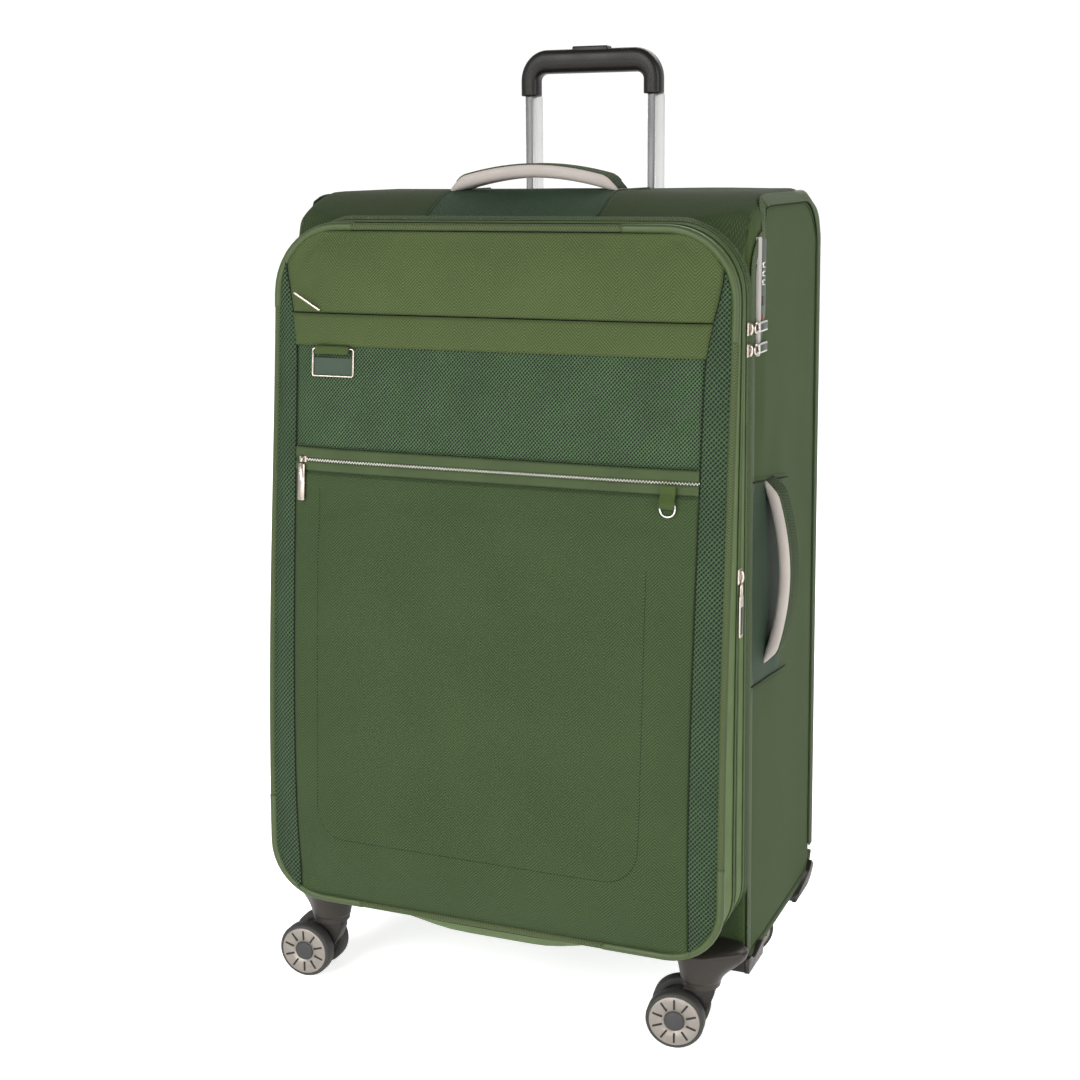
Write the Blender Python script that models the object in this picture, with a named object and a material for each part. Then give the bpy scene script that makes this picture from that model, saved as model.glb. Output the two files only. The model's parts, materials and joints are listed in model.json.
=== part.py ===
"""Softside upright suitcase with four twin-wheel casters, a two-stage trolley handle and a hinged lid.

Metres, +Z up, front towards -Y. The floor is at z = 0. The design is laid out around the case's middle
plane, and one empty moves it so that the overall box is centred over the origin.
"""

from math import cos, pi, radians, sin

import bmesh
import bpy
from mathutils import Matrix, Vector

GAP = 0.0003
RIM_GAP = 0.0005
JOIN_STEP = 0.0005

# Overall box centre in design coordinates.
BOX_CENTRE = (0.0034, -0.0086)

# Case: a fabric box that opens towards -Y at the zip plane.
CASE_HALF_WIDTH = 0.2235
CASE_TOP = 0.776
CASE_BASE = 0.0700
CASE_BACK = 0.154
ZIP_PLANE = -0.089
CASE_CORNER = 0.012
CASE_TOP_CORNER = 0.018
TOP_FRONT_ROUNDING = 0.065
TOP_BACK_ROUNDING = 0.055
BASE_BACK_ROUNDING = 0.034
WALL = 0.003
FLARE = 0.032
OPENING_LIP = 0.004
HOOP_DEPTH = 0.008
HOOP_THICKNESS = 0.003
BOARD_THICKNESS = 0.003
CORNER_STEPS = 5

# Lid: outline of the front panel and of the rim at the zip plane.
LID_HALF_WIDTH = 0.2215
LID_TOP = 0.747
LID_BASE = 0.1025
RIM_TOP = 0.752
RIM_BASE = 0.104
LID_CORNER = 0.062
LID_BASE_CORNER = 0.052
LID_WALL = 0.0025
LID_DEPTH_TOP = 0.030
LID_DEPTH_GAIN = 0.043
LID_CROWN = 0.010
EXPANSION_SEAM = 0.45
BELLY_DROP = 0.034
FACE_SINK = 0.0016

# Front panels, from the lid's top to its base.
STRIP_INNER = 0.198
SLIT_HEIGHT = 0.6682
BAND_BASE = 0.6401
POCKET_ZIP_HEIGHT = 0.5329
PANEL_THICKNESS = 0.0012
ZIP_GAP = 0.0036
POCKET_SLIDER_X = -0.189
D_RING_X = 0.172
D_RING_PIVOT = 0.5145
TAB_LENGTH = 0.034
TAB_STAND_OFF = 0.0042

# Trolley handle.
TUBE_X = 0.0647
TUBE_Y = 0.120
TUBE_FRONT_HALF = 0.0040
TUBE_BACK_HALF = 0.0092
TUBE_DEPTH = 0.0150
TUBE_WALL = 0.0011
TUBE_PLAY = 0.0004
MIDDLE_OUTSIDE = TUBE_PLAY + TUBE_WALL
OUTER_INSIDE = MIDDLE_OUTSIDE + TUBE_PLAY
INNER_TUBE_BASE = 0.241
FOOT_BASE = 0.0850
FOOT_TOP = 0.1010
WELL_FLOOR = 0.737
WELL_BASE = 0.717
WELL_FRONT = 0.101
WELL_HALF_WIDTH = 0.094
GRIP_HALF_WIDTH = 0.0740
GRIP_TOP = 0.9105
GRIP_BAR = 0.0235
GRIP_LEG_BASE = 0.867
GRIP_DEPTH = 0.0195
GRIP_LEG = 0.0185
BUTTON_HALF_LENGTH = 0.0185
BUTTON_HALF_WIDTH = 0.0070
BUTTON_POCKET = 0.010
BUTTON_TRAVEL = 0.004
BUTTON_RISE = 0.0025

# Casters.
CASTER_X = 0.195
CASTER_FRONT_Y = -0.112
CASTER_REAR_Y = 0.105
WHEEL_RADIUS = 0.0275
WHEEL_OUTER = 0.024
WHEEL_INNER = 0.009
WHEEL_SIDES = 16
TRAIL = 0.021
FORK_TOP = 0.0565
TURRET_BASE = 0.0575
TURRET_TOP = 0.092
TURRET_BASE_RADIUS = 0.018
TURRET_TOP_RADIUS = 0.0230
GUARD_THICKNESS = 0.0045
FRONT_GUARD_TOP = 0.0790
GUARD_END_DEG = -42
SPINDLE_RADIUS = 0.004
BEARING_RADIUS = 0.0043
AXLE_RADIUS = 0.002
AXLE_BORE = 0.0023

# Carry handles: arched straps.
HANDLE_WIDTH = 0.032
HANDLE_THICKNESS = 0.010
TOP_HANDLE_HALF = 0.086
TOP_HANDLE_Y = -0.020
HANDLE_GAP = 0.0145
SIDE_HANDLE_MIDDLE = 0.4355
SIDE_HANDLE_HALF = 0.0835
SIDE_HANDLE_Y = -0.029
SIDE_HANDLE_GAP = 0.0165

# Lock and zip hardware on the right-hand side.
LOCK_TOP = 0.738
LOCK_BASE = 0.635
LOCK_FRONT = -0.0705
LOCK_BACK = -0.0455
LOCK_FACE = 0.2272
LOCK_INSIDE = 0.2190
LOCK_BUTTON_HEIGHT = 0.6825
DIAL_RADIUS = 0.0038
DIAL_HEIGHT = 0.0045
DIAL_MIDDLE = 0.706
DIAL_PITCH = 0.0075
PULL_HEIGHTS = (("upper", 0.661), ("lower", 0.6425))
TAB_PIVOT_Y = -0.0850
MAIN_TAB_LENGTH = 0.036
EXPANSION_SLIDER_HEIGHT = 0.448

SIDES = ((-1, "left"), (1, "right"))
CASTERS = (
    ("front_left", -1, CASTER_FRONT_Y, 2),
    ("front_right", 1, CASTER_FRONT_Y, 8),
    ("rear_left", -1, CASTER_REAR_Y, 12),
    ("rear_right", 1, CASTER_REAR_Y, 25),
)


def clear_scene():
    for obj in list(bpy.data.objects):
        bpy.data.objects.remove(obj)


def make_material(name, colour, roughness, metallic=0.0):
    material = bpy.data.materials.new(name)
    material.use_nodes = True
    shader = material.node_tree.nodes["Principled BSDF"]
    shader.inputs["Base Color"].default_value = (*colour, 1.0)
    shader.inputs["Roughness"].default_value = roughness
    shader.inputs["Metallic"].default_value = metallic
    return material


def make_empty(name, location=(0, 0, 0), parent=None, turn=0.0):
    empty = bpy.data.objects.new(name, None)
    empty.location = location
    empty.rotation_euler = (0, 0, turn)
    empty.parent = parent
    bpy.context.scene.collection.objects.link(empty)
    return empty


def add_part(name, mesh_data, material, parent, origin=(0, 0, 0)):
    """Makes one node. mesh_data is in its parent's frame; origin becomes the object's own origin there."""
    mesh_data.normal_update()
    bmesh.ops.recalc_face_normals(mesh_data, faces=mesh_data.faces)
    bmesh.ops.translate(mesh_data, verts=mesh_data.verts, vec=-Vector(origin))
    mesh = bpy.data.meshes.new(name)
    mesh_data.to_mesh(mesh)
    mesh_data.free()
    mesh.materials.append(material)
    mesh.shade_smooth()
    mesh.set_sharp_from_angle(angle=radians(35))
    obj = bpy.data.objects.new(name, mesh)
    obj.location = origin
    obj.parent = parent
    bpy.context.scene.collection.objects.link(obj)
    return obj


def add_cutter(name, mesh_data, parent):
    cutter = add_part(name, mesh_data, MATERIALS["black_plastic"], parent)
    cutter.hide_render = True
    cutter.display_type = "WIRE"
    return cutter


def cut(obj, cutter):
    boolean = obj.modifiers.new("cut", "BOOLEAN")
    boolean.operation = "DIFFERENCE"
    boolean.solver = "EXACT"
    boolean.object = cutter
    return boolean


def soften(obj, width, segments=2, angle=35):
    bevel = obj.modifiers.new("edge", "BEVEL")
    bevel.width = width
    bevel.segments = segments
    bevel.limit_method = "ANGLE"
    bevel.angle_limit = radians(angle)
    return bevel


def box_mesh(low, high):
    mesh_data = bmesh.new()
    size = [high[i] - low[i] for i in range(3)]
    middle = [(high[i] + low[i]) / 2 for i in range(3)]
    place = Matrix.Translation(middle) @ Matrix.Diagonal((*size, 1.0))
    bmesh.ops.create_cube(mesh_data, size=1.0, matrix=place)
    return mesh_data


def loft_mesh(loops, closed=False):
    """Joins equal loops of points with quads. An open loft is capped at both ends."""
    mesh_data = bmesh.new()
    rings = [[mesh_data.verts.new(point) for point in loop] for loop in loops]
    count = len(loops[0])
    pairs = list(zip(rings, rings[1:] + rings[:1])) if closed else list(zip(rings, rings[1:]))
    for ring, following in pairs:
        for i in range(count):
            j = (i + 1) % count
            mesh_data.faces.new((ring[i], ring[j], following[j], following[i]))
    if not closed:
        mesh_data.faces.new(rings[0])
        mesh_data.faces.new(rings[-1])
    return mesh_data


def bag_mesh(outside, inside):
    """A wall between two sets of equal loops, open at the first loop of each and closed at the last."""
    mesh_data = bmesh.new()
    count = len(outside[0])
    rims = []
    for loops in (outside, inside):
        rings = [[mesh_data.verts.new(point) for point in loop] for loop in loops]
        for ring, following in zip(rings, rings[1:]):
            for i in range(count):
                j = (i + 1) % count
                mesh_data.faces.new((ring[i], ring[j], following[j], following[i]))
        mesh_data.faces.new(rings[-1])
        rims.append(rings[0])
    for i in range(count):
        j = (i + 1) % count
        mesh_data.faces.new((rims[0][i], rims[0][j], rims[1][j], rims[1][i]))
    return mesh_data


def prism_mesh(outline, start, end, axis):
    """Extrudes a flat outline of (a, b) points from start to end along axis 0, 1 or 2."""
    loops = []
    for place in (start, end):
        loop = []
        for a, b in outline:
            point = [a, b]
            point.insert(axis, place)
            loop.append(point)
        loops.append(loop)
    return loft_mesh(loops)


def turned_mesh(profile, sides, axis):
    """Turns (radius, height) points around an axis. Its first and last points lie on the axis."""
    mesh_data = bmesh.new()
    turns = [2 * pi * i / sides - pi / 2 for i in range(sides)]

    def at(radius, height, turn):
        point = [radius * cos(turn), radius * sin(turn)]
        point.insert(axis, height)
        return mesh_data.verts.new(point)

    ends = [at(0, profile[0][1], 0), at(0, profile[-1][1], 0)]
    rings = [[at(radius, height, turn) for turn in turns] for radius, height in profile[1:-1]]
    for i in range(sides):
        j = (i + 1) % sides
        mesh_data.faces.new((ends[0], rings[0][i], rings[0][j]))
        mesh_data.faces.new((ends[1], rings[-1][j], rings[-1][i]))
        for ring, following in zip(rings, rings[1:]):
            mesh_data.faces.new((ring[i], ring[j], following[j], following[i]))
    return mesh_data


def arc_points(centre, radius, start_deg, end_deg, steps):
    turns = [radians(start_deg + (end_deg - start_deg) * i / steps) for i in range(steps + 1)]
    return [(centre[0] + radius * cos(turn), centre[1] + radius * sin(turn)) for turn in turns]


def rounded_rectangle(half_width, base, top, low_corner, top_corner, steps=CORNER_STEPS):
    """(x, z) points of a rectangle with its own lower and upper corner radii, from the lower right."""
    low_side = half_width - low_corner
    top_side = half_width - top_corner
    points = arc_points((low_side, base + low_corner), low_corner, -90, 0, steps)
    points += arc_points((top_side, top - top_corner), top_corner, 0, 90, steps)
    points += arc_points((-top_side, top - top_corner), top_corner, 90, 180, steps)
    points += arc_points((-low_side, base + low_corner), low_corner, 180, 270, steps)
    return points


def smooth_step(value):
    value = min(max(value, 0.0), 1.0)
    return value * value * (3 - 2 * value)


# --- Case ---------------------------------------------------------------------------------------------


def rounding_drop(distance, radius):
    """How far a quarter round of this radius has fallen at a distance from its end."""
    if distance >= radius:
        return 0.0
    reach = radius - max(distance, 0.0)
    return radius - (radius * radius - reach * reach) ** 0.5


def flared(x, z):
    """A design width at a height: the whole body widens slightly towards its base."""
    return x * (1 + FLARE * (CASE_TOP - z) / (CASE_TOP - CASE_BASE))


def case_top(y):
    """Height of the case's top panel: it rises from the zip plane and rounds over at the back."""
    rise = min(1.0, (y - ZIP_PLANE) / TOP_FRONT_ROUNDING)
    return CASE_TOP - (CASE_TOP - RIM_TOP) * (1 - sin(pi / 2 * rise)) - rounding_drop(
        CASE_BACK - y, TOP_BACK_ROUNDING
    )


def case_section(y, inset, place=None):
    """The case's outline at one depth, drawn in by inset, as points at depth place."""
    top_corner = LID_CORNER + (CASE_TOP_CORNER - LID_CORNER) * smooth_step((y - ZIP_PLANE) / 0.035)
    half_width = CASE_HALF_WIDTH - rounding_drop(CASE_BACK - y, CASE_CORNER)
    half_width -= (CASE_HALF_WIDTH - LID_HALF_WIDTH) * (1 - smooth_step((y - ZIP_PLANE) / 0.02))
    outline = rounded_rectangle(
        half_width - inset,
        CASE_BASE + rounding_drop(CASE_BACK - y, BASE_BACK_ROUNDING) + inset,
        case_top(y) - inset,
        max(CASE_CORNER - inset, 0.005),
        max(top_corner - inset, 0.005),
    )
    return [(flared(x, z), y if place is None else place, z) for x, z in outline]


def opening_section(y, inset):
    """The case's opening, which the lid's rim closes."""
    outline = rounded_rectangle(
        LID_HALF_WIDTH - inset, RIM_BASE + inset, RIM_TOP - inset, LID_BASE_CORNER - inset, LID_CORNER - inset
    )
    return [(flared(x, z), y, z) for x, z in outline]


def build_case_shell(parent):
    front = ZIP_PLANE + RIM_GAP
    depths = [front, -0.083, -0.074, -0.064, -0.048, -0.024, 0.097, 0.111, 0.127, 0.140, 0.150, CASE_BACK]
    outside = [case_section(y, 0.0) for y in depths]
    inner_back = CASE_BACK - WALL
    inside = [opening_section(front, OPENING_LIP), opening_section(front + WALL, OPENING_LIP)]
    inside += [case_section(y, WALL) for y in depths[1:-2]]
    inside += [case_section(depths[-2], 3 * WALL, inner_back)]
    shell = add_part("case_shell", bag_mesh(outside, inside), MATERIALS["green_fabric"], parent)
    well_space = box_mesh(
        (-WELL_HALF_WIDTH - GAP, WELL_FRONT - GAP, WELL_BASE - GAP),
        (WELL_HALF_WIDTH + GAP, CASE_BACK + 0.02, CASE_TOP + 0.02),
    )
    cut(shell, add_cutter("well_space_cutter", well_space, parent))
    lock_space = box_mesh(
        (LOCK_INSIDE - 0.004, LOCK_FRONT - GAP, LOCK_BASE - GAP),
        (LOCK_FACE + 0.01, LOCK_BACK + GAP, LOCK_TOP + GAP),
    )
    cut(shell, add_cutter("lock_space_cutter", lock_space, parent))


def build_inner_frame(parent):
    """The springy hoop behind the opening's edge, the stiffening board at the back."""
    start = ZIP_PLANE + RIM_GAP + WALL + GAP
    end = start + HOOP_DEPTH
    loops = [
        opening_section(start, OPENING_LIP),
        opening_section(end, OPENING_LIP),
        opening_section(end, OPENING_LIP + HOOP_THICKNESS),
        opening_section(start, OPENING_LIP + HOOP_THICKNESS),
    ]
    add_part("opening_frame", loft_mesh(loops, closed=True), MATERIALS["black_plastic"], parent)
    board_back = CASE_BACK - WALL - GAP
    board = box_mesh((-0.195, board_back - BOARD_THICKNESS, 0.130), (0.195, board_back, WELL_BASE - 0.012))
    add_part("back_board", board, MATERIALS["black_plastic"], parent)


def build_carry_handles(parent):
    """Arched straps whose ends are sewn down on the top and on the right-hand side."""
    steps = 12
    top_loops = []
    side_loops = []

    def strap_section(middle, gap, arch):
        under = GAP + gap * arch
        over = under + HANDLE_THICKNESS * min(1.0, 0.25 + 2.5 * arch)
        front = middle - HANDLE_WIDTH / 2
        back = middle + HANDLE_WIDTH / 2
        return ((front, under), (back, under), (back, over), (front, over))

    for i in range(steps + 1):
        along = -1 + 2 * i / steps
        arch = 1 - along * along
        x = along * TOP_HANDLE_HALF
        section = strap_section(TOP_HANDLE_Y, HANDLE_GAP, arch)
        top_loops.append([(x, y, CASE_TOP + h) for y, h in section])
        z = SIDE_HANDLE_MIDDLE + along * SIDE_HANDLE_HALF
        section = strap_section(SIDE_HANDLE_Y, SIDE_HANDLE_GAP, arch)
        side_loops.append([(flared(CASE_HALF_WIDTH, z) + h, y, z) for y, h in section])
    add_part("top_handle", loft_mesh(top_loops), MATERIALS["grey_mesh"], parent)
    add_part("side_handle", loft_mesh(side_loops), MATERIALS["grey_mesh"], parent)


# --- Trolley handle ----------------------------------------------------------------------------------


def tube_outline(offset):
    """(x, y) corners of the delta profile, grown evenly by offset, with its narrow face to the front."""
    spread = TUBE_BACK_HALF - TUBE_FRONT_HALF
    lean = spread / TUBE_DEPTH
    shift = (1 + lean * lean) ** 0.5
    front_half = TUBE_FRONT_HALF + offset * (shift - lean)
    back_half = TUBE_BACK_HALF + offset * (shift + lean)
    half_depth = TUBE_DEPTH / 2 + offset
    front_edge = [(-front_half, -half_depth), (front_half, -half_depth)]
    return front_edge + [(back_half, half_depth), (-back_half, half_depth)]


def placed_tube_outline(side, offset):
    return [(side * TUBE_X + x, TUBE_Y + y) for x, y in tube_outline(offset)]


def tube_mesh(side, inner_offset, outer_offset, base, top):
    loops = []
    stations = ((outer_offset, base), (outer_offset, top), (inner_offset, top), (inner_offset, base))
    for offset, height in stations:
        loops.append([(x, y, height) for x, y in placed_tube_outline(side, offset)])
    return loft_mesh(loops, closed=True)


def build_trolley_mounting(parent):
    """The well that the grip sinks into, the foot that the tubes stand on, and the fixed outer tubes."""
    curve = [(y, case_top(y)) for y in (CASE_BACK, 0.150, 0.140, 0.127, 0.111, WELL_FRONT)]
    outline = [(WELL_FRONT, WELL_BASE), (CASE_BACK, WELL_BASE)] + curve
    block = prism_mesh(outline, -WELL_HALF_WIDTH, WELL_HALF_WIDTH, 0)
    well = add_part("trolley_well", block, MATERIALS["black_plastic"], parent)
    recess = box_mesh(
        (-WELL_HALF_WIDTH + 0.010, TUBE_Y - 0.0150, WELL_FLOOR),
        (WELL_HALF_WIDTH - 0.010, TUBE_Y + 0.0150, CASE_TOP + 0.01),
    )
    cut(well, add_cutter("well_recess_cutter", recess, parent))
    slip = MIDDLE_OUTSIDE + TUBE_PLAY
    for side, label in SIDES:
        hole = prism_mesh(placed_tube_outline(side, slip), WELL_BASE - 0.01, WELL_FLOOR + 0.01, 2)
        cut(well, add_cutter("well_" + label + "_cutter", hole, parent))
        mesh_data = tube_mesh(side, OUTER_INSIDE, OUTER_INSIDE + TUBE_WALL, FOOT_TOP + GAP, WELL_BASE - GAP)
        add_part("outer_tube_" + label, mesh_data, MATERIALS["aluminium"], parent)
    foot = box_mesh((-0.085, TUBE_Y - 0.014, FOOT_BASE), (0.085, TUBE_Y + 0.014, FOOT_TOP))
    soften(add_part("trolley_foot", foot, MATERIALS["black_plastic"], parent), 0.002, 1)


def build_trolley_stages(parent):
    for side, label in SIDES:
        middle_inside = MIDDLE_OUTSIDE - TUBE_WALL
        middle = tube_mesh(side, middle_inside, MIDDLE_OUTSIDE, FOOT_TOP + 0.004, WELL_FLOOR - 0.001)
        add_part("middle_tube_" + label, middle, MATERIALS["aluminium"], parent)
        inner = tube_mesh(side, -TUBE_WALL, 0.0, INNER_TUBE_BASE, GRIP_LEG_BASE - GAP)
        add_part("inner_tube_" + label, inner, MATERIALS["aluminium"], parent)


def build_grip(parent):
    """A bar with two legs over the inner tubes, and the release button let into its top."""
    leg_inner = GRIP_HALF_WIDTH - GRIP_LEG
    bar_base = GRIP_TOP - GRIP_BAR
    outer = arc_points((GRIP_HALF_WIDTH - 0.024, GRIP_TOP - 0.026), 0.024, 0, 80, 5)
    inner = arc_points((leg_inner - 0.010, bar_base - 0.010), 0.010, 0, 90, 3)
    right = [(leg_inner, GRIP_LEG_BASE), (GRIP_HALF_WIDTH, GRIP_LEG_BASE)] + outer + [(0.030, GRIP_TOP)]
    left = [(-x, z) for x, z in reversed(right)]
    outline = right + left + [(-x, z) for x, z in inner] + list(reversed(inner))
    mesh_data = prism_mesh(outline, TUBE_Y - GRIP_DEPTH / 2, TUBE_Y + GRIP_DEPTH / 2, 1)
    grip = add_part("grip", mesh_data, MATERIALS["black_plastic"], parent)
    soften(grip, 0.004, 2)
    pocket = box_mesh(
        (-BUTTON_HALF_LENGTH - GAP, TUBE_Y - BUTTON_HALF_WIDTH - GAP, GRIP_TOP - BUTTON_POCKET),
        (BUTTON_HALF_LENGTH + GAP, TUBE_Y + BUTTON_HALF_WIDTH + GAP, GRIP_TOP + 0.01),
    )
    cut(grip, add_cutter("button_pocket_cutter", pocket, parent))
    button = box_mesh(
        (-BUTTON_HALF_LENGTH, TUBE_Y - BUTTON_HALF_WIDTH, GRIP_TOP - BUTTON_POCKET + BUTTON_TRAVEL + GAP),
        (BUTTON_HALF_LENGTH, TUBE_Y + BUTTON_HALF_WIDTH, GRIP_TOP + BUTTON_RISE),
    )
    soften(add_part("grip_button", button, MATERIALS["black_plastic"], parent), 0.0012, 2)


# --- Casters -----------------------------------------------------------------------------------------


def join(obj, other):
    union = obj.modifiers.new("join", "BOOLEAN")
    union.operation = "UNION"
    union.solver = "EXACT"
    union.object = other


def build_caster_housing(label, side, y, front, parent):
    """A turret with a bearing hole for the fork's spindle, joined to a guard that wraps the case's corner."""
    inner_x = CASTER_X - 0.030
    cheek_x = flared(CASE_HALF_WIDTH, CASE_BASE) + GAP
    outer_x = cheek_x + GUARD_THICKNESS
    plate_top = CASE_BASE - GAP
    turret_top = TURRET_TOP if front else plate_top - 0.001
    top_radius = TURRET_TOP_RADIUS if front else TURRET_BASE_RADIUS + 0.003
    profile = [(0, turret_top), (top_radius, turret_top), (TURRET_BASE_RADIUS, TURRET_BASE), (0, TURRET_BASE)]
    turret = turned_mesh(profile, 20, 2)
    bmesh.ops.translate(turret, verts=turret.verts, vec=(side * CASTER_X, y, 0))
    housing = add_part("caster_housing_" + label, turret, MATERIALS["black_plastic"], parent)
    base = plate_top - GUARD_THICKNESS
    cheek_base = base - JOIN_STEP
    if front:
        face = ZIP_PLANE + RIM_GAP - GAP
        shin = face - GUARD_THICKNESS
        guard = [(shin, base), (-0.050, base), (-0.050, plate_top)]
        guard += [(face, plate_top), (face, FRONT_GUARD_TOP), (shin, FRONT_GUARD_TOP)]
        shin -= JOIN_STEP
        cheek = [(shin, cheek_base), (-0.046, cheek_base), (-0.043, 0.0770), (-0.048, 0.0780)]
        cheek += [(-0.070, 0.0735), (-0.078, 0.0740)]
        cheek += [(-0.085, FRONT_GUARD_TOP), (shin, FRONT_GUARD_TOP + JOIN_STEP)]
    else:
        centre = (CASE_BACK - BASE_BACK_ROUNDING, CASE_BASE + BASE_BACK_ROUNDING)
        outer_radius = BASE_BACK_ROUNDING + GAP + GUARD_THICKNESS
        outer = arc_points(centre, outer_radius, -90, GUARD_END_DEG, 6)
        inner = arc_points(centre, BASE_BACK_ROUNDING + GAP, GUARD_END_DEG, -90, 6)
        guard = [(0.078, plate_top), (0.078, base)] + outer + inner
        cheek = [(0.090, plate_top), (0.077, cheek_base)]
        cheek += arc_points(centre, outer_radius + JOIN_STEP, -88, GUARD_END_DEG + 2, 6)
        cheek += arc_points(centre, BASE_BACK_ROUNDING - 0.005, GUARD_END_DEG + 2, -70, 4)
    for number, (outline, low, high) in enumerate(
        ((guard, inner_x, outer_x - JOIN_STEP), (cheek, cheek_x, outer_x))
    ):
        ends = sorted((side * low, side * high))
        piece = prism_mesh(outline, ends[0], ends[1], 0)
        join(housing, add_cutter("guard_%s_%d" % (label, number), piece, parent))
    top = min(turret_top - 0.003, TURRET_BASE + 0.018)
    low = TURRET_BASE - 0.010
    bearing = turned_mesh([(0, top), (BEARING_RADIUS, top), (BEARING_RADIUS, low), (0, low)], 12, 2)
    bmesh.ops.translate(bearing, verts=bearing.verts, vec=(side * CASTER_X, y, 0))
    cut(housing, add_cutter("bearing_" + label + "_cutter", bearing, parent))
    return top


def build_caster(label, parent, spindle_top):
    """The swivelling fork, its axle and the two wheels, in the caster's own frame with its trail along -X."""
    hub = (-TRAIL, WHEEL_RADIUS)
    outline = [(0.0135, FORK_TOP), (0.0130, 0.0490), (0.0085, 0.0370), (-0.0010, 0.0250)]
    outline += arc_points(hub, 0.0080, -50, -215, 6)
    outline += [(-0.0225, 0.0450), (-0.0125, FORK_TOP)]
    fork_half = WHEEL_INNER - 0.002
    fork_mesh = prism_mesh(outline, -fork_half, fork_half, 1)
    fork = add_part("fork_" + label, fork_mesh, MATERIALS["black_plastic"], parent)
    bore = turned_mesh([(0, -0.01), (AXLE_BORE, -0.01), (AXLE_BORE, 0.01), (0, 0.01)], 12, 1)
    bmesh.ops.translate(bore, verts=bore.verts, vec=(hub[0], 0, hub[1]))
    cut(fork, add_cutter("axle_bore_" + label, bore, parent))
    top = spindle_top - 0.001
    low = FORK_TOP - 0.006
    spindle = turned_mesh([(0, top), (SPINDLE_RADIUS, top), (SPINDLE_RADIUS, low), (0, low)], 12, 2)
    join(fork, add_cutter("spindle_" + label, spindle, parent))
    reach = WHEEL_OUTER - 0.003
    axle = turned_mesh([(0, reach), (AXLE_RADIUS, reach), (AXLE_RADIUS, -reach), (0, -reach)], 12, 1)
    bmesh.ops.translate(axle, verts=axle.verts, vec=(hub[0], 0, hub[1]))
    add_part("axle_" + label, axle, MATERIALS["steel"], parent, (hub[0], 0, hub[1]))
    shoulder = WHEEL_RADIUS - 0.0016
    profile = [
        (0, WHEEL_OUTER - 0.0006),
        (shoulder - 0.0008, WHEEL_OUTER - 0.0006),
        (shoulder, WHEEL_OUTER),
        (WHEEL_RADIUS, WHEEL_OUTER - 0.002),
        (WHEEL_RADIUS, WHEEL_INNER + 0.002),
        (shoulder, WHEEL_INNER),
        (0.0215, WHEEL_INNER),
        (0.0205, WHEEL_INNER + 0.004),
        (0.0075, WHEEL_INNER + 0.004),
        (0.0065, WHEEL_INNER),
        (AXLE_BORE, WHEEL_INNER),
        (AXLE_BORE, reach + 0.0005),
        (0, reach + 0.0005),
    ]
    for sign, name in ((-1, "a"), (1, "b")):
        wheel = turned_mesh([(radius, sign * height) for radius, height in profile], WHEEL_SIDES, 1)
        bmesh.ops.translate(wheel, verts=wheel.verts, vec=(hub[0], 0, hub[1]))
        add_part("wheel_" + label + "_" + name, wheel, MATERIALS["tyre"], parent, (hub[0], 0, hub[1]))


# --- Lid ---------------------------------------------------------------------------------------------


def front_depth(z):
    """How far the lid's front edge stands out from the zip plane: it deepens towards the base."""
    fall = min(max((LID_TOP - 0.011 - z) / 0.60, 0.0), 1.0)
    return LID_DEPTH_TOP + LID_DEPTH_GAIN * sin(pi / 2 * fall) ** 1.4


def crown(x, z):
    """The padded front's extra height, full in the middle and nothing at its edge."""
    middle = (LID_TOP + LID_BASE) / 2
    half_height = (LID_TOP - LID_BASE) / 2
    return LID_CROWN * max(0.0, 1 - abs(x / LID_HALF_WIDTH) ** 6 - abs((z - middle) / half_height) ** 6)


def belly(x, share):
    """The soft gusset's sag between the casters, fullest at the expansion seam."""
    return BELLY_DROP * smooth_step((0.155 - abs(x)) / 0.06) * sin(pi * share)


def lid_outline(share, inset, scale=1.0):
    """Points round the lid at a share of its depth, 0 at the rim and 1 at the front edge."""
    base = RIM_BASE + (LID_BASE - RIM_BASE) * share + inset
    top = RIM_TOP + (LID_TOP - RIM_TOP) * share - inset
    half_width = LID_HALF_WIDTH - inset
    corner = LID_CORNER - inset
    low_corner = LID_BASE_CORNER - inset
    side = half_width - corner
    low_side = half_width - low_corner
    upright = top - base - corner - low_corner
    flat = []
    for i in range(1, 10):
        x = low_side * (-1 + i / 5)
        flat.append((x, base - belly(x, share)))
    flat += arc_points((low_side, base + low_corner), low_corner, -90, 0, CORNER_STEPS)
    flat += [(half_width, base + low_corner + upright * i / 6) for i in range(1, 6)]
    flat += arc_points((side, top - corner), corner, 0, 90, CORNER_STEPS)
    flat += arc_points((-side, top - corner), corner, 90, 180, CORNER_STEPS)
    flat += [(-half_width, top - corner - upright * i / 6) for i in range(1, 6)]
    flat += arc_points((-low_side, base + low_corner), low_corner, 180, 270, CORNER_STEPS)
    middle = (base + top) / 2
    flat = [(flared(x, z) * scale, middle + (z - middle) * scale) for x, z in flat]
    return [(x, ZIP_PLANE - front_depth(z) * share, z) for x, z in flat]


def lid_face(inset, lift):
    """Loops that close the lid's front, drawn towards its middle over the crown."""
    loops = []
    for scale in (0.985, 0.95, 0.90, 0.82, 0.68, 0.35):
        outline = lid_outline(1.0, inset, scale)
        loops.append([(x, y - crown(x, z) - lift, z) for x, y, z in outline])
    return loops


def shifted(loop, distance):
    return [(x, y + distance, z) for x, y, z in loop]


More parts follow.
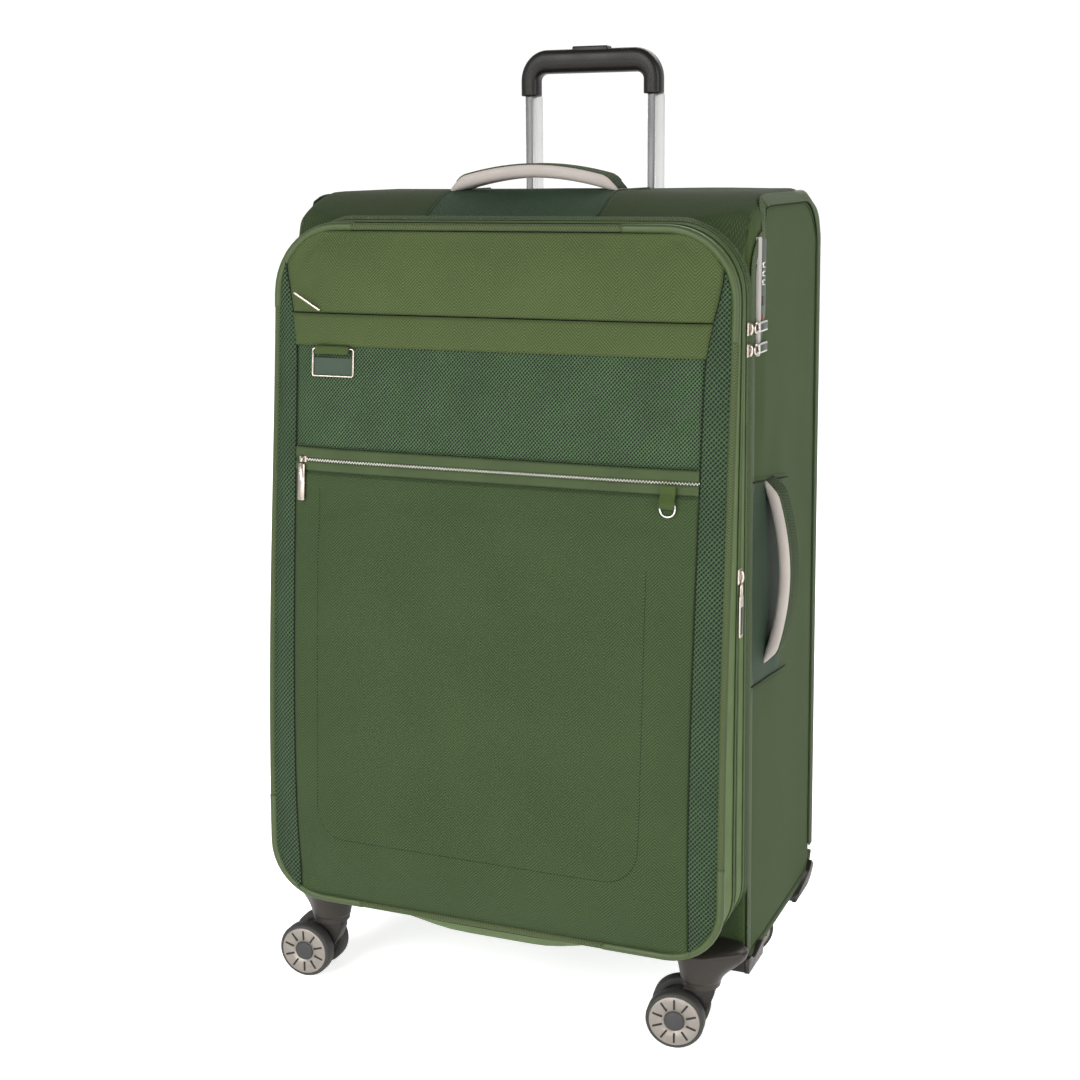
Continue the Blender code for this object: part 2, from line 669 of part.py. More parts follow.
def build_lid_shells(rim_parent, front_parent):
    rim = [shifted(lid_outline(0.0, inset), -RIM_GAP) for inset in (0.0, LID_WALL)]
    seam = [shifted(lid_outline(EXPANSION_SEAM, inset), GAP / 2) for inset in (0.0, LID_WALL)]
    ring = loft_mesh([rim[0], seam[0], seam[1], rim[1]], closed=True)
    add_part("lid_gusset", ring, MATERIALS["green_fabric"], rim_parent)
    outside = [shifted(lid_outline(EXPANSION_SEAM, 0.0), -GAP / 2), lid_outline(1.0, 0.0)]
    outside += lid_face(0.0, -FACE_SINK)
    inside = [shifted(lid_outline(EXPANSION_SEAM, LID_WALL), -GAP / 2)]
    inside += [shifted(lid_outline(1.0, LID_WALL), 0.004)]
    inside += lid_face(LID_WALL, -FACE_SINK - LID_WALL)
    add_part("lid_front_shell", bag_mesh(outside, inside), MATERIALS["green_fabric"], front_parent)


def panel_mesh(left, right, base, top, low_lift, high_lift, columns=8, rows=6):
    """A sheet on the crowned front. left and right give its side edges at a height."""
    mesh_data = bmesh.new()
    sheets = []
    for lift in (low_lift, high_lift):
        sheet = []
        for j in range(rows + 1):
            z = base + (top - base) * j / rows
            row = []
            for i in range(columns + 1):
                x = left(z) + (right(z) - left(z)) * i / columns
                y = ZIP_PLANE - front_depth(z) - crown(x, z) - lift
                row.append(mesh_data.verts.new((x, y, z)))
            sheet.append(row)
        sheets.append(sheet)
    for sheet in sheets:
        for low_row, high_row in zip(sheet, sheet[1:]):
            for i in range(columns):
                mesh_data.faces.new((low_row[i], low_row[i + 1], high_row[i + 1], high_row[i]))
    edge = [(0, i) for i in range(columns)] + [(j, columns) for j in range(rows)]
    edge += [(rows, i) for i in range(columns, 0, -1)] + [(j, 0) for j in range(rows, 0, -1)]
    for (j, i), (l, k) in zip(edge, edge[1:] + edge[:1]):
        mesh_data.faces.new((sheets[0][j][i], sheets[0][l][k], sheets[1][l][k], sheets[1][j][i]))
    return mesh_data


def outline_half_width(z):
    """Half the lid's width at a height, where its corners round in."""
    corner = LID_CORNER if z > (LID_TOP + LID_BASE) / 2 else LID_BASE_CORNER
    past = max(0.0, z - (LID_TOP - corner), LID_BASE + corner - z)
    return flared(LID_HALF_WIDTH - corner + (corner**2 - past**2) ** 0.5, z)


def build_front_panels(parent):
    inner = STRIP_INNER - GAP
    panel_rows = (
        ("upper_pocket_panel", "green_fabric", SLIT_HEIGHT + GAP, LID_TOP - 0.013, 0.0, 4),
        ("front_band", "green_fabric", BAND_BASE + GAP, SLIT_HEIGHT - GAP, 0.0006, 2),
        ("front_mesh_panel", "green_mesh", POCKET_ZIP_HEIGHT + ZIP_GAP, BAND_BASE - GAP, 0.0, 4),
        ("lower_pocket_panel", "green_fabric", LID_BASE + 0.013, POCKET_ZIP_HEIGHT - ZIP_GAP, 0.0, 10),
    )
    for name, material, base, top, lift, rows in panel_rows:
        mesh_data = panel_mesh(
            lambda z: -inner, lambda z: inner, base, top, lift, lift + PANEL_THICKNESS, 10, rows
        )
        add_part(name, mesh_data, MATERIALS[material], parent)
    for side, label in SIDES:
        edges = [lambda z: side * STRIP_INNER, lambda z: side * (outline_half_width(z) - 0.005)]
        if side < 0:
            edges.reverse()
        base, top = LID_BASE + 0.020, LID_TOP - 0.020
        mesh_data = panel_mesh(edges[0], edges[1], base, top, 0.0, PANEL_THICKNESS, 2, 16)
        add_part("side_mesh_strip_" + label, mesh_data, MATERIALS["green_mesh"], parent)


def front_y(x, z, lift):
    return ZIP_PLANE - front_depth(z) - crown(x, z) - PANEL_THICKNESS - lift


def build_badge(parent):
    """A blank metal plate that follows the mesh panel's slope."""
    low = PANEL_THICKNESS + 0.0006
    plate = panel_mesh(lambda z: -0.1790, lambda z: -0.1350, 0.6105, 0.6372, low, low + 0.0018, 3, 2)
    add_part("badge_plate", plate, MATERIALS["satin_metal"], parent)


def build_d_ring(parent):
    """A webbing loop sewn to the lower pocket, and the wire ring that hangs in it."""
    x = D_RING_X
    y = front_y(x, D_RING_PIVOT, 0.0012)
    back = y
    front = y - 0.0058
    low = D_RING_PIVOT - 0.004
    high = POCKET_ZIP_HEIGHT - 0.0055
    outline = [(back, high), (back, low), (front, low), (front, D_RING_PIVOT + 0.003), (back - 0.0016, high)]
    loop_mesh = prism_mesh(outline, x - 0.006, x + 0.006, 0)
    loop = add_part("d_ring_loop", loop_mesh, MATERIALS["green_fabric"], parent)
    pivot_y = back - 0.0029
    slot = turned_mesh([(0, -0.01), (0.0017, -0.01), (0.0017, 0.01), (0, 0.01)], 8, 0)
    bmesh.ops.translate(slot, verts=slot.verts, vec=(x, pivot_y, D_RING_PIVOT))
    cut(loop, add_cutter("d_ring_slot_cutter", slot, parent))
    wire = 0.0011
    half = 0.0083
    path = [(-half, 0.0), (half, 0.0)] + arc_points((0, -0.0035), half + 0.0003, 10, -190, 10)
    loops = []
    count = len(path)
    for i in range(count):
        before = Vector(path[i - 1])
        here = Vector(path[i])
        after = Vector(path[(i + 1) % count])
        across = (after - before).normalized()
        normal = Vector((across.y, -across.x))
        ring = []
        for turn in (0, 90, 180, 270):
            out = normal * cos(radians(turn)) * wire
            place = here + out
            ring.append((x + place.x, pivot_y + sin(radians(turn)) * wire, D_RING_PIVOT + place.y))
        loops.append(ring)
    ring_mesh = loft_mesh(loops, closed=True)
    add_part("d_ring", ring_mesh, MATERIALS["satin_metal"], parent, (x, pivot_y, D_RING_PIVOT))


def build_pocket_pulls(parent):
    """The sliders and tabs on the lid's front: the large pocket's, and the slit pocket's bar."""
    x = POCKET_SLIDER_X
    z = POCKET_ZIP_HEIGHT
    y = front_y(x, z, 0.0004)
    half = ZIP_GAP - 0.0004
    slider = box_mesh((x - 0.0040, y - 0.0035, z - half), (x + 0.0040, y, z + half))
    soften(add_part("pocket_slider", slider, MATERIALS["satin_metal"], parent), 0.001, 1)
    pivot = (x, front_y(x, z - half, TAB_STAND_OFF), z - half - 0.0005)
    lean = (front_y(x, z - 0.042, 0) - front_y(x, z - 0.006, 0)) / 0.036
    outline = [(pivot[1] - 0.0008, pivot[2]), (pivot[1] + 0.0008, pivot[2])]
    outline += [(pivot[1] + 0.0008 + lean * TAB_LENGTH, pivot[2] - TAB_LENGTH)]
    outline += [(pivot[1] - 0.0008 + lean * TAB_LENGTH, pivot[2] - TAB_LENGTH)]
    tab = prism_mesh(outline, x - 0.0034, x + 0.0034, 0)
    add_part("pocket_pull_tab", tab, MATERIALS["satin_metal"], parent, pivot)
    start = Vector((-0.198, 0.0, SLIT_HEIGHT + 0.0180))
    end = Vector((-0.171, 0.0, SLIT_HEIGHT + 0.0035))
    along = (end - start).normalized()
    across = Vector((-along.z, 0, along.x)) * 0.0017
    lift = front_y((start.x + end.x) / 2, SLIT_HEIGHT, 0.0026)
    corners = [start - across, end - across, end + across, start + across]
    loops = [[(corner.x, y_place, corner.z) for corner in corners] for y_place in (lift, lift - 0.0016)]
    add_part("slit_pocket_pull", loft_mesh(loops), MATERIALS["satin_metal"], parent)


# --- Zip pulls and lock on the right-hand side --------------------------------------------------------


def build_main_pulls(parent):
    for label, z in PULL_HEIGHTS:
        low_x = CASE_HALF_WIDTH + 0.0005
        low = (low_x, ZIP_PLANE - 0.006, z - 0.006)
        slider = box_mesh(low, (low_x + 0.0035, ZIP_PLANE + 0.003, z + 0.006))
        soften(add_part("main_slider_" + label, slider, MATERIALS["satin_metal"], parent), 0.001, 1)
        tab_x = LOCK_FACE + GAP + 0.0003
        neck = TAB_PIVOT_Y + 0.012
        end = TAB_PIVOT_Y + MAIN_TAB_LENGTH
        lower = [(TAB_PIVOT_Y, z - 0.0024), (neck, z - 0.0024), (neck + 0.002, z - 0.0045), (end, z - 0.0045)]
        outline = lower + [(place, 2 * z - height) for place, height in reversed(lower)]
        tab = prism_mesh(outline, tab_x, tab_x + 0.0018, 0)
        pivot = (tab_x + 0.0009, TAB_PIVOT_Y, z)
        soften(add_part("main_pull_tab_" + label, tab, MATERIALS["satin_metal"], parent, pivot), 0.0005, 1)


def build_expansion_pull(parent):
    z = EXPANSION_SLIDER_HEIGHT
    x = flared(LID_HALF_WIDTH, z - 0.055) + 0.0006
    y = ZIP_PLANE - front_depth(z) * EXPANSION_SEAM
    slider = box_mesh((x, y - 0.005, z - 0.007), (x + 0.0035, y + 0.005, z + 0.007))
    soften(add_part("expansion_slider", slider, MATERIALS["satin_metal"], parent), 0.001, 1)
    pivot = (x + 0.0020, y, z - 0.0085)
    low = (pivot[0] - 0.0009, y - 0.0045, pivot[2] - 0.046)
    tab = box_mesh(low, (pivot[0] + 0.0009, y + 0.0045, pivot[2]))
    soften(add_part("expansion_pull_tab", tab, MATERIALS["satin_metal"], parent, pivot), 0.0005, 1)


def build_lock(parent):
    """A flush combination lock: body, three number dials on one upright axis, and the release button."""
    body = box_mesh((LOCK_INSIDE, LOCK_FRONT, LOCK_BASE), (LOCK_FACE, LOCK_BACK, LOCK_TOP))
    lock = add_part("lock_body", body, MATERIALS["satin_metal"], parent)
    soften(lock, 0.0012, 1)
    middle_y = (LOCK_FRONT + LOCK_BACK) / 2 + 0.003
    centre_x = LOCK_FACE + 0.0009 - DIAL_RADIUS
    for number in range(3):
        z = DIAL_MIDDLE + DIAL_PITCH * (1 - number)
        half = DIAL_HEIGHT / 2
        space = box_mesh(
            (centre_x - DIAL_RADIUS - GAP, middle_y - DIAL_RADIUS - GAP, z - half - GAP),
            (LOCK_FACE + 0.01, middle_y + DIAL_RADIUS + GAP, z + half + GAP),
        )
        cut(lock, add_cutter("dial_space_%d" % number, space, parent))
        profile = [(0, z + half), (DIAL_RADIUS, z + half), (DIAL_RADIUS, z - half), (0, z - half)]
        dial = turned_mesh(profile, 10, 2)
        bmesh.ops.translate(dial, verts=dial.verts, vec=(centre_x, middle_y, 0))
        name = "lock_dial_%d" % (number + 1)
        add_part(name, dial, MATERIALS["black_plastic"], parent, (centre_x, middle_y, z))
    z = LOCK_BUTTON_HEIGHT
    space = box_mesh(
        (LOCK_FACE - 0.0045, middle_y - 0.004 - GAP, z - 0.004 - GAP),
        (LOCK_FACE + 0.01, middle_y + 0.004 + GAP, z + 0.004 + GAP),
    )
    cut(lock, add_cutter("lock_button_space", space, parent))
    low = (LOCK_FACE - 0.0025, middle_y - 0.004, z - 0.004)
    button = box_mesh(low, (LOCK_FACE, middle_y + 0.004, z + 0.004))
    add_part("lock_button", button, MATERIALS["black_plastic"], parent)


def main():
    clear_scene()
    origin = make_empty("suitcase", (-BOX_CENTRE[0], -BOX_CENTRE[1], 0))
    build_case_shell(origin)
    build_inner_frame(origin)
    build_carry_handles(origin)
    build_trolley_mounting(origin)
    build_lock(origin)
    build_main_pulls(origin)
    trolley = make_empty("trolley", (0, 0, 0), origin)
    build_trolley_stages(trolley)
    build_grip(trolley)
    for label, side, y, turn in CASTERS:
        spindle_top = build_caster_housing(label, side, y, y < 0, origin)
        swivel = make_empty("swivel_" + label, (side * CASTER_X, y, 0), origin, radians(turn))
        build_caster(label, swivel, spindle_top)
    lid = make_empty("lid", (0, 0, 0), origin)
    lid_front = make_empty("lid_front", (0, 0, 0), lid)
    build_lid_shells(lid, lid_front)
    build_expansion_pull(lid)
    build_front_panels(lid_front)
    build_badge(lid_front)
    build_d_ring(lid_front)
    build_pocket_pulls(lid_front)


clear_scene()
MATERIALS = {
    "green_fabric": make_material("green_fabric", (0.085, 0.125, 0.055), 0.80),
    "green_mesh": make_material("green_mesh", (0.055, 0.095, 0.055), 0.85),
    "grey_mesh": make_material("grey_mesh", (0.43, 0.40, 0.37), 0.75),
    "black_plastic": make_material("black_plastic", (0.018, 0.017, 0.015), 0.50),
    "aluminium": make_material("aluminium", (0.80, 0.80, 0.80), 0.30, 1.0),
    "satin_metal": make_material("satin_metal", (0.62, 0.57, 0.52), 0.32, 1.0),
    "steel": make_material("steel", (0.55, 0.55, 0.55), 0.35, 1.0),
    "tyre": make_material("tyre", (0.035, 0.034, 0.032), 0.70),
}
main()
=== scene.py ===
"""Looks of a softside upright suitcase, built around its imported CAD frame."""

import json
import math

import bpy
import numpy as np
from mathutils import Matrix, Vector, noise
from mathutils.bvhtree import BVHTree

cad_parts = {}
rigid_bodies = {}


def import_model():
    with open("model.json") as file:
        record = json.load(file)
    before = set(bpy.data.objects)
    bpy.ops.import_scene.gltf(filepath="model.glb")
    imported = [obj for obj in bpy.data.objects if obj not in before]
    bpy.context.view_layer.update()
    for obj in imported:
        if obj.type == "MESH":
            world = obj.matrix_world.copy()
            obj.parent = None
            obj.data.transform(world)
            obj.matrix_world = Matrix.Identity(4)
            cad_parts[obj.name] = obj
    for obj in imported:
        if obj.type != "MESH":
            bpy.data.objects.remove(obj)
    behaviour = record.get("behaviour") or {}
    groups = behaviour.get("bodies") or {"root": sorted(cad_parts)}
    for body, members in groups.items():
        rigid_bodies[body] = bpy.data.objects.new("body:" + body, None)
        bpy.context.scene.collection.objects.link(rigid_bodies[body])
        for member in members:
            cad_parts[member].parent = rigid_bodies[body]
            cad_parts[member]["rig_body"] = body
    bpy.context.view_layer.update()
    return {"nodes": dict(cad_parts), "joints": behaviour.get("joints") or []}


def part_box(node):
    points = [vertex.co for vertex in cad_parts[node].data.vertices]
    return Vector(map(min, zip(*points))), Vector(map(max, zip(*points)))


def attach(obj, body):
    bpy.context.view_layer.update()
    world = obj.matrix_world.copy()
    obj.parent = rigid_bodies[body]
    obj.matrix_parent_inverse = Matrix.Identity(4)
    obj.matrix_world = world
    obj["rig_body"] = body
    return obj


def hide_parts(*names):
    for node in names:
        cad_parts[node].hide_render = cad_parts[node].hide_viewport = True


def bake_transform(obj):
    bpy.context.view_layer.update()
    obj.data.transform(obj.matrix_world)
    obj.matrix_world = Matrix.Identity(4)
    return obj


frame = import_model()

FRONT, RIGHT, UP = (0, -1, 0), (1, 0, 0), (0, 0, 1)
SIDES = ((-1, "left"), (1, "right"))

# Places. Design coordinates: x from the middle plane, y with the zip plane at ZIP, z from the floor.

ZIP = -0.089
shell_low, shell_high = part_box("lid_front_shell")
case_low, case_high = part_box("case_shell")
OFFSET = Vector(((shell_low.x + shell_high.x) / 2, case_low.y - 0.0005 - ZIP, 0.0))


def design_box(node):
    """A node's low corner, high corner and centre in design coordinates."""
    low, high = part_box(node)
    return low - OFFSET, high - OFFSET, (low + high) / 2 - OFFSET


CASE_TOP = case_high.z
CASE_BASE = case_low.z
CASE_BACK = case_high.y - OFFSET.y
CASE_HALF = 0.2235
FLARE = 0.032  # how much wider the case is at its base than at its top
CASE_CORNER = 0.012
CASE_TOP_CORNER = 0.018
CASE_HEEL = 0.034  # radius of the base's rear edge
SHOULDER = 0.014  # depth over which the lid's round corner becomes the case's sharper one
RIM_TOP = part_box("lid_gusset")[1].z
RIM_BASE = 0.104
LID_TOP = 0.747
LID_BASE = 0.1025
LID_HALF = 0.2215
LID_CORNER = 0.062
LID_BASE_CORNER = 0.052
LID_MIDDLE = (LID_TOP + LID_BASE) / 2
LID_HALF_HEIGHT = (LID_TOP - LID_BASE) / 2
SEAM = 0.45  # where the expansion zip runs, as a share of the lid's depth
BELLY = 0.0272  # how far the lid's underside hangs
FOOT_SWELL = 0.0100  # how far the lower pocket's foot swells forwards
SLIT = design_box("front_band")[1].z + 0.0003
BAND_BASE = design_box("front_band")[0].z - 0.0003
ZIP_Z = design_box("pocket_slider")[2].z
STRIP = 0.198  # half the width between the side mesh strips
WELL_FRONT, WELL_HALF, WELL_FLOOR = 0.1005, 0.0945, 0.717  # the fabric is open over the trolley's well
HINGE_BASE, HINGE_LENGTH = 0.175, 0.500


def smooth(t):
    t = min(max(t, 0.0), 1.0)
    return t * t * (3 - 2 * t)


def bell(distance, width):
    return math.exp(-((distance / width) ** 2))


def wander(p, scale, seed=0.0):
    return noise.noise(Vector((p[0] * scale + seed, p[1] * scale + seed * 1.7, p[2] * scale - seed)))


def drop(distance, radius):
    """How far a rounded edge has fallen at a distance from its end."""
    if distance >= radius:
        return 0.0
    reach = radius - max(distance, 0.0)
    return radius - math.sqrt(max(radius * radius - reach * reach, 0.0))


def flared(x, z):
    return x * (1 + FLARE * (CASE_TOP - z) / (CASE_TOP - CASE_BASE))


def case_top(y):
    rise = min(1.0, (y - ZIP) / 0.065)
    return CASE_TOP - (CASE_TOP - RIM_TOP) * (1 - math.sin(math.pi / 2 * rise)) - drop(CASE_BACK - y, 0.055)


def arc(cx, cz, radius, start, end, steps):
    turns = [math.radians(start + (end - start) * i / steps) for i in range(steps + 1)]
    return [(cx + radius * math.cos(t), cz + radius * math.sin(t)) for t in turns]


def rounded_loop(half, base, top, low_r, top_r):
    """(x, z) round a rounded rectangle, from the middle of its base towards +x, evenly filled."""
    low, high, span = base + low_r, top - top_r, half - top_r
    right = [((half - low_r) * i / 11, base) for i in range(11)]
    right += arc(half - low_r, low, low_r, -90, 0, 10)
    right += [(half, low + (high - low) * i / 26) for i in range(1, 26)]
    right += arc(span, high, top_r, 0, 90, 10)
    across = [(span - 2 * span * i / 22, top) for i in range(1, 22)]
    return right + across + [(-x, z) for x, z in right[:0:-1]]


def rounded_rectangle(half_w, half_h, corner, steps):
    """A small closed outline round the origin, from its right-hand side."""
    x, z = half_w - corner, half_h - corner
    points = arc(x, z, corner, 0, 90, steps) + arc(-x, z, corner, 90, 180, steps)
    return points + arc(-x, -z, corner, 180, 270, steps) + arc(x, -z, corner, 270, 360, steps)


def top_corner(y):
    return LID_CORNER + (CASE_TOP_CORNER - LID_CORNER) * smooth((y - ZIP) / SHOULDER)


def waist(y):
    """The case starts as narrow as the lid and reaches its own width a little behind it."""
    return (CASE_HALF - LID_HALF) * (1 - smooth((y - ZIP) / 0.02))


def case_loop(y, inset, place=None):
    half = CASE_HALF - drop(CASE_BACK - y, CASE_CORNER) - waist(y)
    base = CASE_BASE + drop(CASE_BACK - y, CASE_HEEL) + inset
    corners = max(CASE_CORNER - inset, 0.005), max(top_corner(y) - inset, 0.005)
    loop = rounded_loop(half - inset, base, case_top(y) - inset, *corners)
    return [(flared(x, z), y if place is None else place, z) for x, z in loop]


def rim_loop(y, inset):
    corners = LID_BASE_CORNER - inset, LID_CORNER - inset
    loop = rounded_loop(LID_HALF - inset, RIM_BASE + inset, RIM_TOP - inset, *corners)
    return [(flared(x, z), y, z) for x, z in loop]


def front_depth(z):
    fall = min(max((LID_TOP - 0.011 - z) / 0.60, 0.0), 1.0)
    return 0.030 + 0.043 * math.sin(math.pi / 2 * fall) ** 1.4


def face_y(x, z):
    """The lid's front face, with a slight crown."""
    crown = 0.010 * max(0.0, 1 - abs(x / LID_HALF) ** 6 - abs((z - LID_MIDDLE) / LID_HALF_HEIGHT) ** 6)
    return ZIP - front_depth(z) - crown


def front_point(x, z, lift=0.0):
    return (x, face_y(x, z) - lift, z)


def lid_loop(share, inset):
    """The lid's outline at a share of its depth, from the opening's rim to the front."""
    base = RIM_BASE + (LID_BASE - RIM_BASE) * share + inset
    top = RIM_TOP + (LID_TOP - RIM_TOP) * share - inset
    points = []
    for x, z in rounded_loop(LID_HALF - inset, base, top, LID_BASE_CORNER - inset, LID_CORNER - inset):
        if z < base + 1e-6:
            z -= BELLY * smooth((0.165 - abs(x)) / 0.13) * math.sin(math.pi * share)
        points.append((flared(x, z), ZIP - front_depth(z) * share, z))
    return points


def outline_half(z):
    corner = LID_CORNER if z > LID_MIDDLE else LID_BASE_CORNER
    past = min(max(0.0, z - (LID_TOP - corner), LID_BASE + corner - z), corner)
    return flared(LID_HALF - corner + math.sqrt(corner**2 - past**2), z)


def strip_inner(z):
    """Where the front panels end and the side strips begin."""
    return STRIP + 0.0137 * smooth((z - 0.610) / 0.110) ** 1.5


def inner_edge(z):
    return min(strip_inner(z), outline_half(z) - 0.0035)


# Materials


class Shader:
    """Small helper for node materials: sockets in, sockets out."""

    def __init__(self, name):
        self.material = bpy.data.materials.new(name)
        self.material.use_nodes = True
        self.tree = self.material.node_tree
        self.out = self.tree.nodes["Principled BSDF"]

    def node(self, kind, **values):
        made = self.tree.nodes.new(kind)
        for key, value in values.items():
            setattr(made, key, value)
        return made

    def feed(self, socket, value):
        if isinstance(value, bpy.types.NodeSocket):
            self.tree.links.new(value, socket)
        elif isinstance(value, (tuple, list)) and len(value) == 3 and socket.type == "RGBA":
            socket.default_value = (*value, 1.0)
        else:
            socket.default_value = value

    def feed_all(self, sockets, values):
        for socket, value in zip(sockets, values):
            self.feed(socket, value)

    def set(self, **values):
        for key, value in values.items():
            self.feed(self.out.inputs[key.replace("_", " ")], value)

    def math(self, operation, a, b=0.0, c=0.0):
        made = self.node("ShaderNodeMath", operation=operation)
        self.feed_all(made.inputs, (a, b, c))
        return made.outputs[0]

    def add(self, a, b):
        return self.math("ADD", a, b)

    def times(self, a, b):
        return self.math("MULTIPLY", a, b)

    def mix(self, factor, a, b):
        made = self.node("ShaderNodeMix", data_type="RGBA")
        self.feed_all((made.inputs[0], made.inputs[6], made.inputs[7]), (factor, a, b))
        return made.outputs[2]

    def ramp(self, value, low, high, to_low=0.0, to_high=1.0):
        made = self.node("ShaderNodeMapRange")
        self.feed_all(made.inputs, (value, low, high, to_low, to_high))
        return made.outputs[0]

    def noise(self, scale, detail=2.0, vector=None):
        made = self.node("ShaderNodeTexNoise")
        self.feed(made.inputs["Scale"], scale)
        self.feed(made.inputs["Detail"], detail)
        self.feed(made.inputs["Vector"], vector if vector is not None else self.place())
        return made.outputs["Fac"]

    def place(self):
        return self.node("ShaderNodeTexCoord").outputs["Object"]

    def uv(self):
        split = self.node("ShaderNodeSeparateXYZ")
        self.feed(split.inputs[0], self.node("ShaderNodeTexCoord").outputs["UV"])
        return split.outputs[0], split.outputs[1]

    def bump(self, height, distance, strength=0.9, normal=None):
        made = self.node("ShaderNodeBump")
        for key, value in (("Strength", strength), ("Distance", distance), ("Height", height),
                           ("Normal", normal)):
            if value is not None:
                self.feed(made.inputs[key], value)
        return made.outputs[0]

    def wave(self, value, period):
        """A 0 to 1 wave along a coordinate in metres."""
        turned = self.math("SINE", self.times(value, 2 * math.pi / period))
        return self.math("MULTIPLY_ADD", turned, 0.5, 0.5)


def srgb(colour):
    """Linear values of an 8-bit sRGB colour."""
    shares = [v / 255 for v in colour]
    return [v / 12.92 if v <= 0.04045 else ((v + 0.055) / 1.055) ** 2.4 for v in shares]


def times(colour, factor):
    return [c * factor for c in colour]


def twill(name, light, dark, period=0.0031, relief=0.00025, patch=0.10):
    """Herringbone twill: diagonal ribs that change direction from column to column, in dotted floats."""
    s = Shader(name)
    light, dark = srgb(light), srgb(dark)
    u, v = s.uv()
    zigzag = s.math("PINGPONG", u, 0.017)
    along = s.add(v, zigzag)
    across = s.math("SUBTRACT", v, zigzag)
    rib = s.wave(along, period)
    dots = s.wave(across, period * 0.85)
    height = s.times(rib, s.math("MULTIPLY_ADD", dots, 0.85, 0.15))
    threads, cloud = s.noise(2600, 1.0), s.noise(14, 3.0)
    colour = s.mix(s.ramp(height, 0.0, 0.75), dark, light)
    faded = s.mix(s.ramp(cloud, 0.35, 0.70, 0.0, patch), colour,
                  (light[0] * 1.35, light[1] * 1.25, light[2] * 1.2))
    worn = s.mix(s.ramp(threads, 0.30, 0.75, 0.18, 0.0), faded, dark)
    s.set(Base_Color=worn, Roughness=s.ramp(height, 0, 1, 0.90, 0.76), Sheen_Weight=0.025,
          Sheen_Roughness=0.45)
    s.set(Sheen_Tint=(0.75, 0.82, 0.62), Specular_IOR_Level=0.14)
    wrinkle = s.bump(cloud, 0.004, 0.25)
    s.set(Normal=s.bump(s.add(height, s.times(threads, 0.25)), relief, normal=wrinkle))
    return s.material


def net(name, thread, hole, cell=0.0030, relief=0.0008, width=1.4, glint=0.3):
    """Spacer mesh: two sets of diagonal threads over holes painted dark as the shade inside them."""
    s = Shader(name)
    thread, hole = srgb(thread), srgb(hole)
    u, v = s.uv()
    warp = s.times(s.noise(140, 1.0), cell * 0.35)
    a = s.add(s.math("MULTIPLY_ADD", v, 0.92, u), warp)
    b = s.math("SUBTRACT", u, s.add(s.times(v, 0.92), warp))
    first = s.math("POWER", s.wave(a, cell), width)
    second = s.math("POWER", s.wave(b, cell), width * 1.15)
    gap = s.times(s.math("SUBTRACT", 1.0, first), s.math("SUBTRACT", 1.0, second))
    height = s.math("SUBTRACT", 1.0, gap)
    strand = s.wave(a, cell * 0.25)
    cloud = s.noise(22, 3.0)
    colour = s.mix(s.ramp(height, 0.15, 0.95), hole, thread)
    # Painted highlight: glint brightens the threads in streaks along one set.
    colour = s.mix(s.times(s.times(second, strand), glint), colour, times(thread, 2.4))
    s.set(Base_Color=s.mix(s.ramp(cloud, 0.3, 0.7, 0.25, 0.0), colour, hole))
    s.set(Roughness=0.66, Specular_IOR_Level=0.18)
    s.set(Normal=s.bump(s.math("MULTIPLY_ADD", strand, 0.12, height), relief))
    return s.material


def cloth(name, colour, grain=0.0012, relief=0.00018, rough=0.78, sheen=0.025):
    """Plain close weave for tapes, bindings and the gusset."""
    s = Shader(name)
    colour = srgb(colour)
    u, v = s.uv()
    weave = s.times(s.wave(u, grain), s.wave(v, grain))
    fibres, cloud = s.noise(1900), s.noise(30, 3.0)
    dark = times(colour, 0.62)
    body = s.mix(s.ramp(weave, 0.0, 0.7), dark, colour)
    body = s.mix(s.ramp(cloud, 0.35, 0.70, 0.0, 0.22), body, times(colour, 1.45))
    s.set(Base_Color=s.mix(s.ramp(fibres, 0.3, 0.7, 0.2, 0.0), body, dark), Roughness=rough)
    s.set(Sheen_Weight=sheen, Sheen_Roughness=0.4, Specular_IOR_Level=0.18)
    s.set(Normal=s.bump(s.add(weave, s.times(fibres, 0.5)), relief))
    return s.material


def braid(name, light, dark):
    """Diagonally braided cover of the straight piping and the edge tapes."""
    s = Shader(name)
    u, v = s.uv()
    rib = s.wave(s.add(u, s.math("PINGPONG", v, 0.0022)), 0.0026)
    fibres = s.noise(1700)
    s.set(Base_Color=s.mix(s.ramp(rib, 0.1, 0.85), srgb(dark), srgb(light)), Roughness=0.75)
    s.set(Sheen_Weight=0.02, Sheen_Roughness=0.4, Specular_IOR_Level=0.2)
    s.set(Normal=s.bump(s.add(rib, s.times(fibres, 0.4)), 0.0004))
    return s.material


def vinyl(name, colour):
    """Smooth grained cover of the corner piping."""
    s = Shader(name)
    colour = srgb(colour)
    grain, cloud = s.noise(900, 3.0), s.noise(60, 3.0)
    s.set(Base_Color=s.mix(s.ramp(cloud, 0.3, 0.7, 0.0, 0.3), colour, times(colour, 1.3)))
    s.set(Roughness=s.ramp(cloud, 0.3, 0.7, 0.40, 0.52), Coat_Weight=0.05, Coat_Roughness=0.35)
    s.set(Specular_IOR_Level=0.25, Normal=s.bump(grain, 0.00008, 0.8, s.bump(cloud, 0.0012, 0.5)))
    return s.material


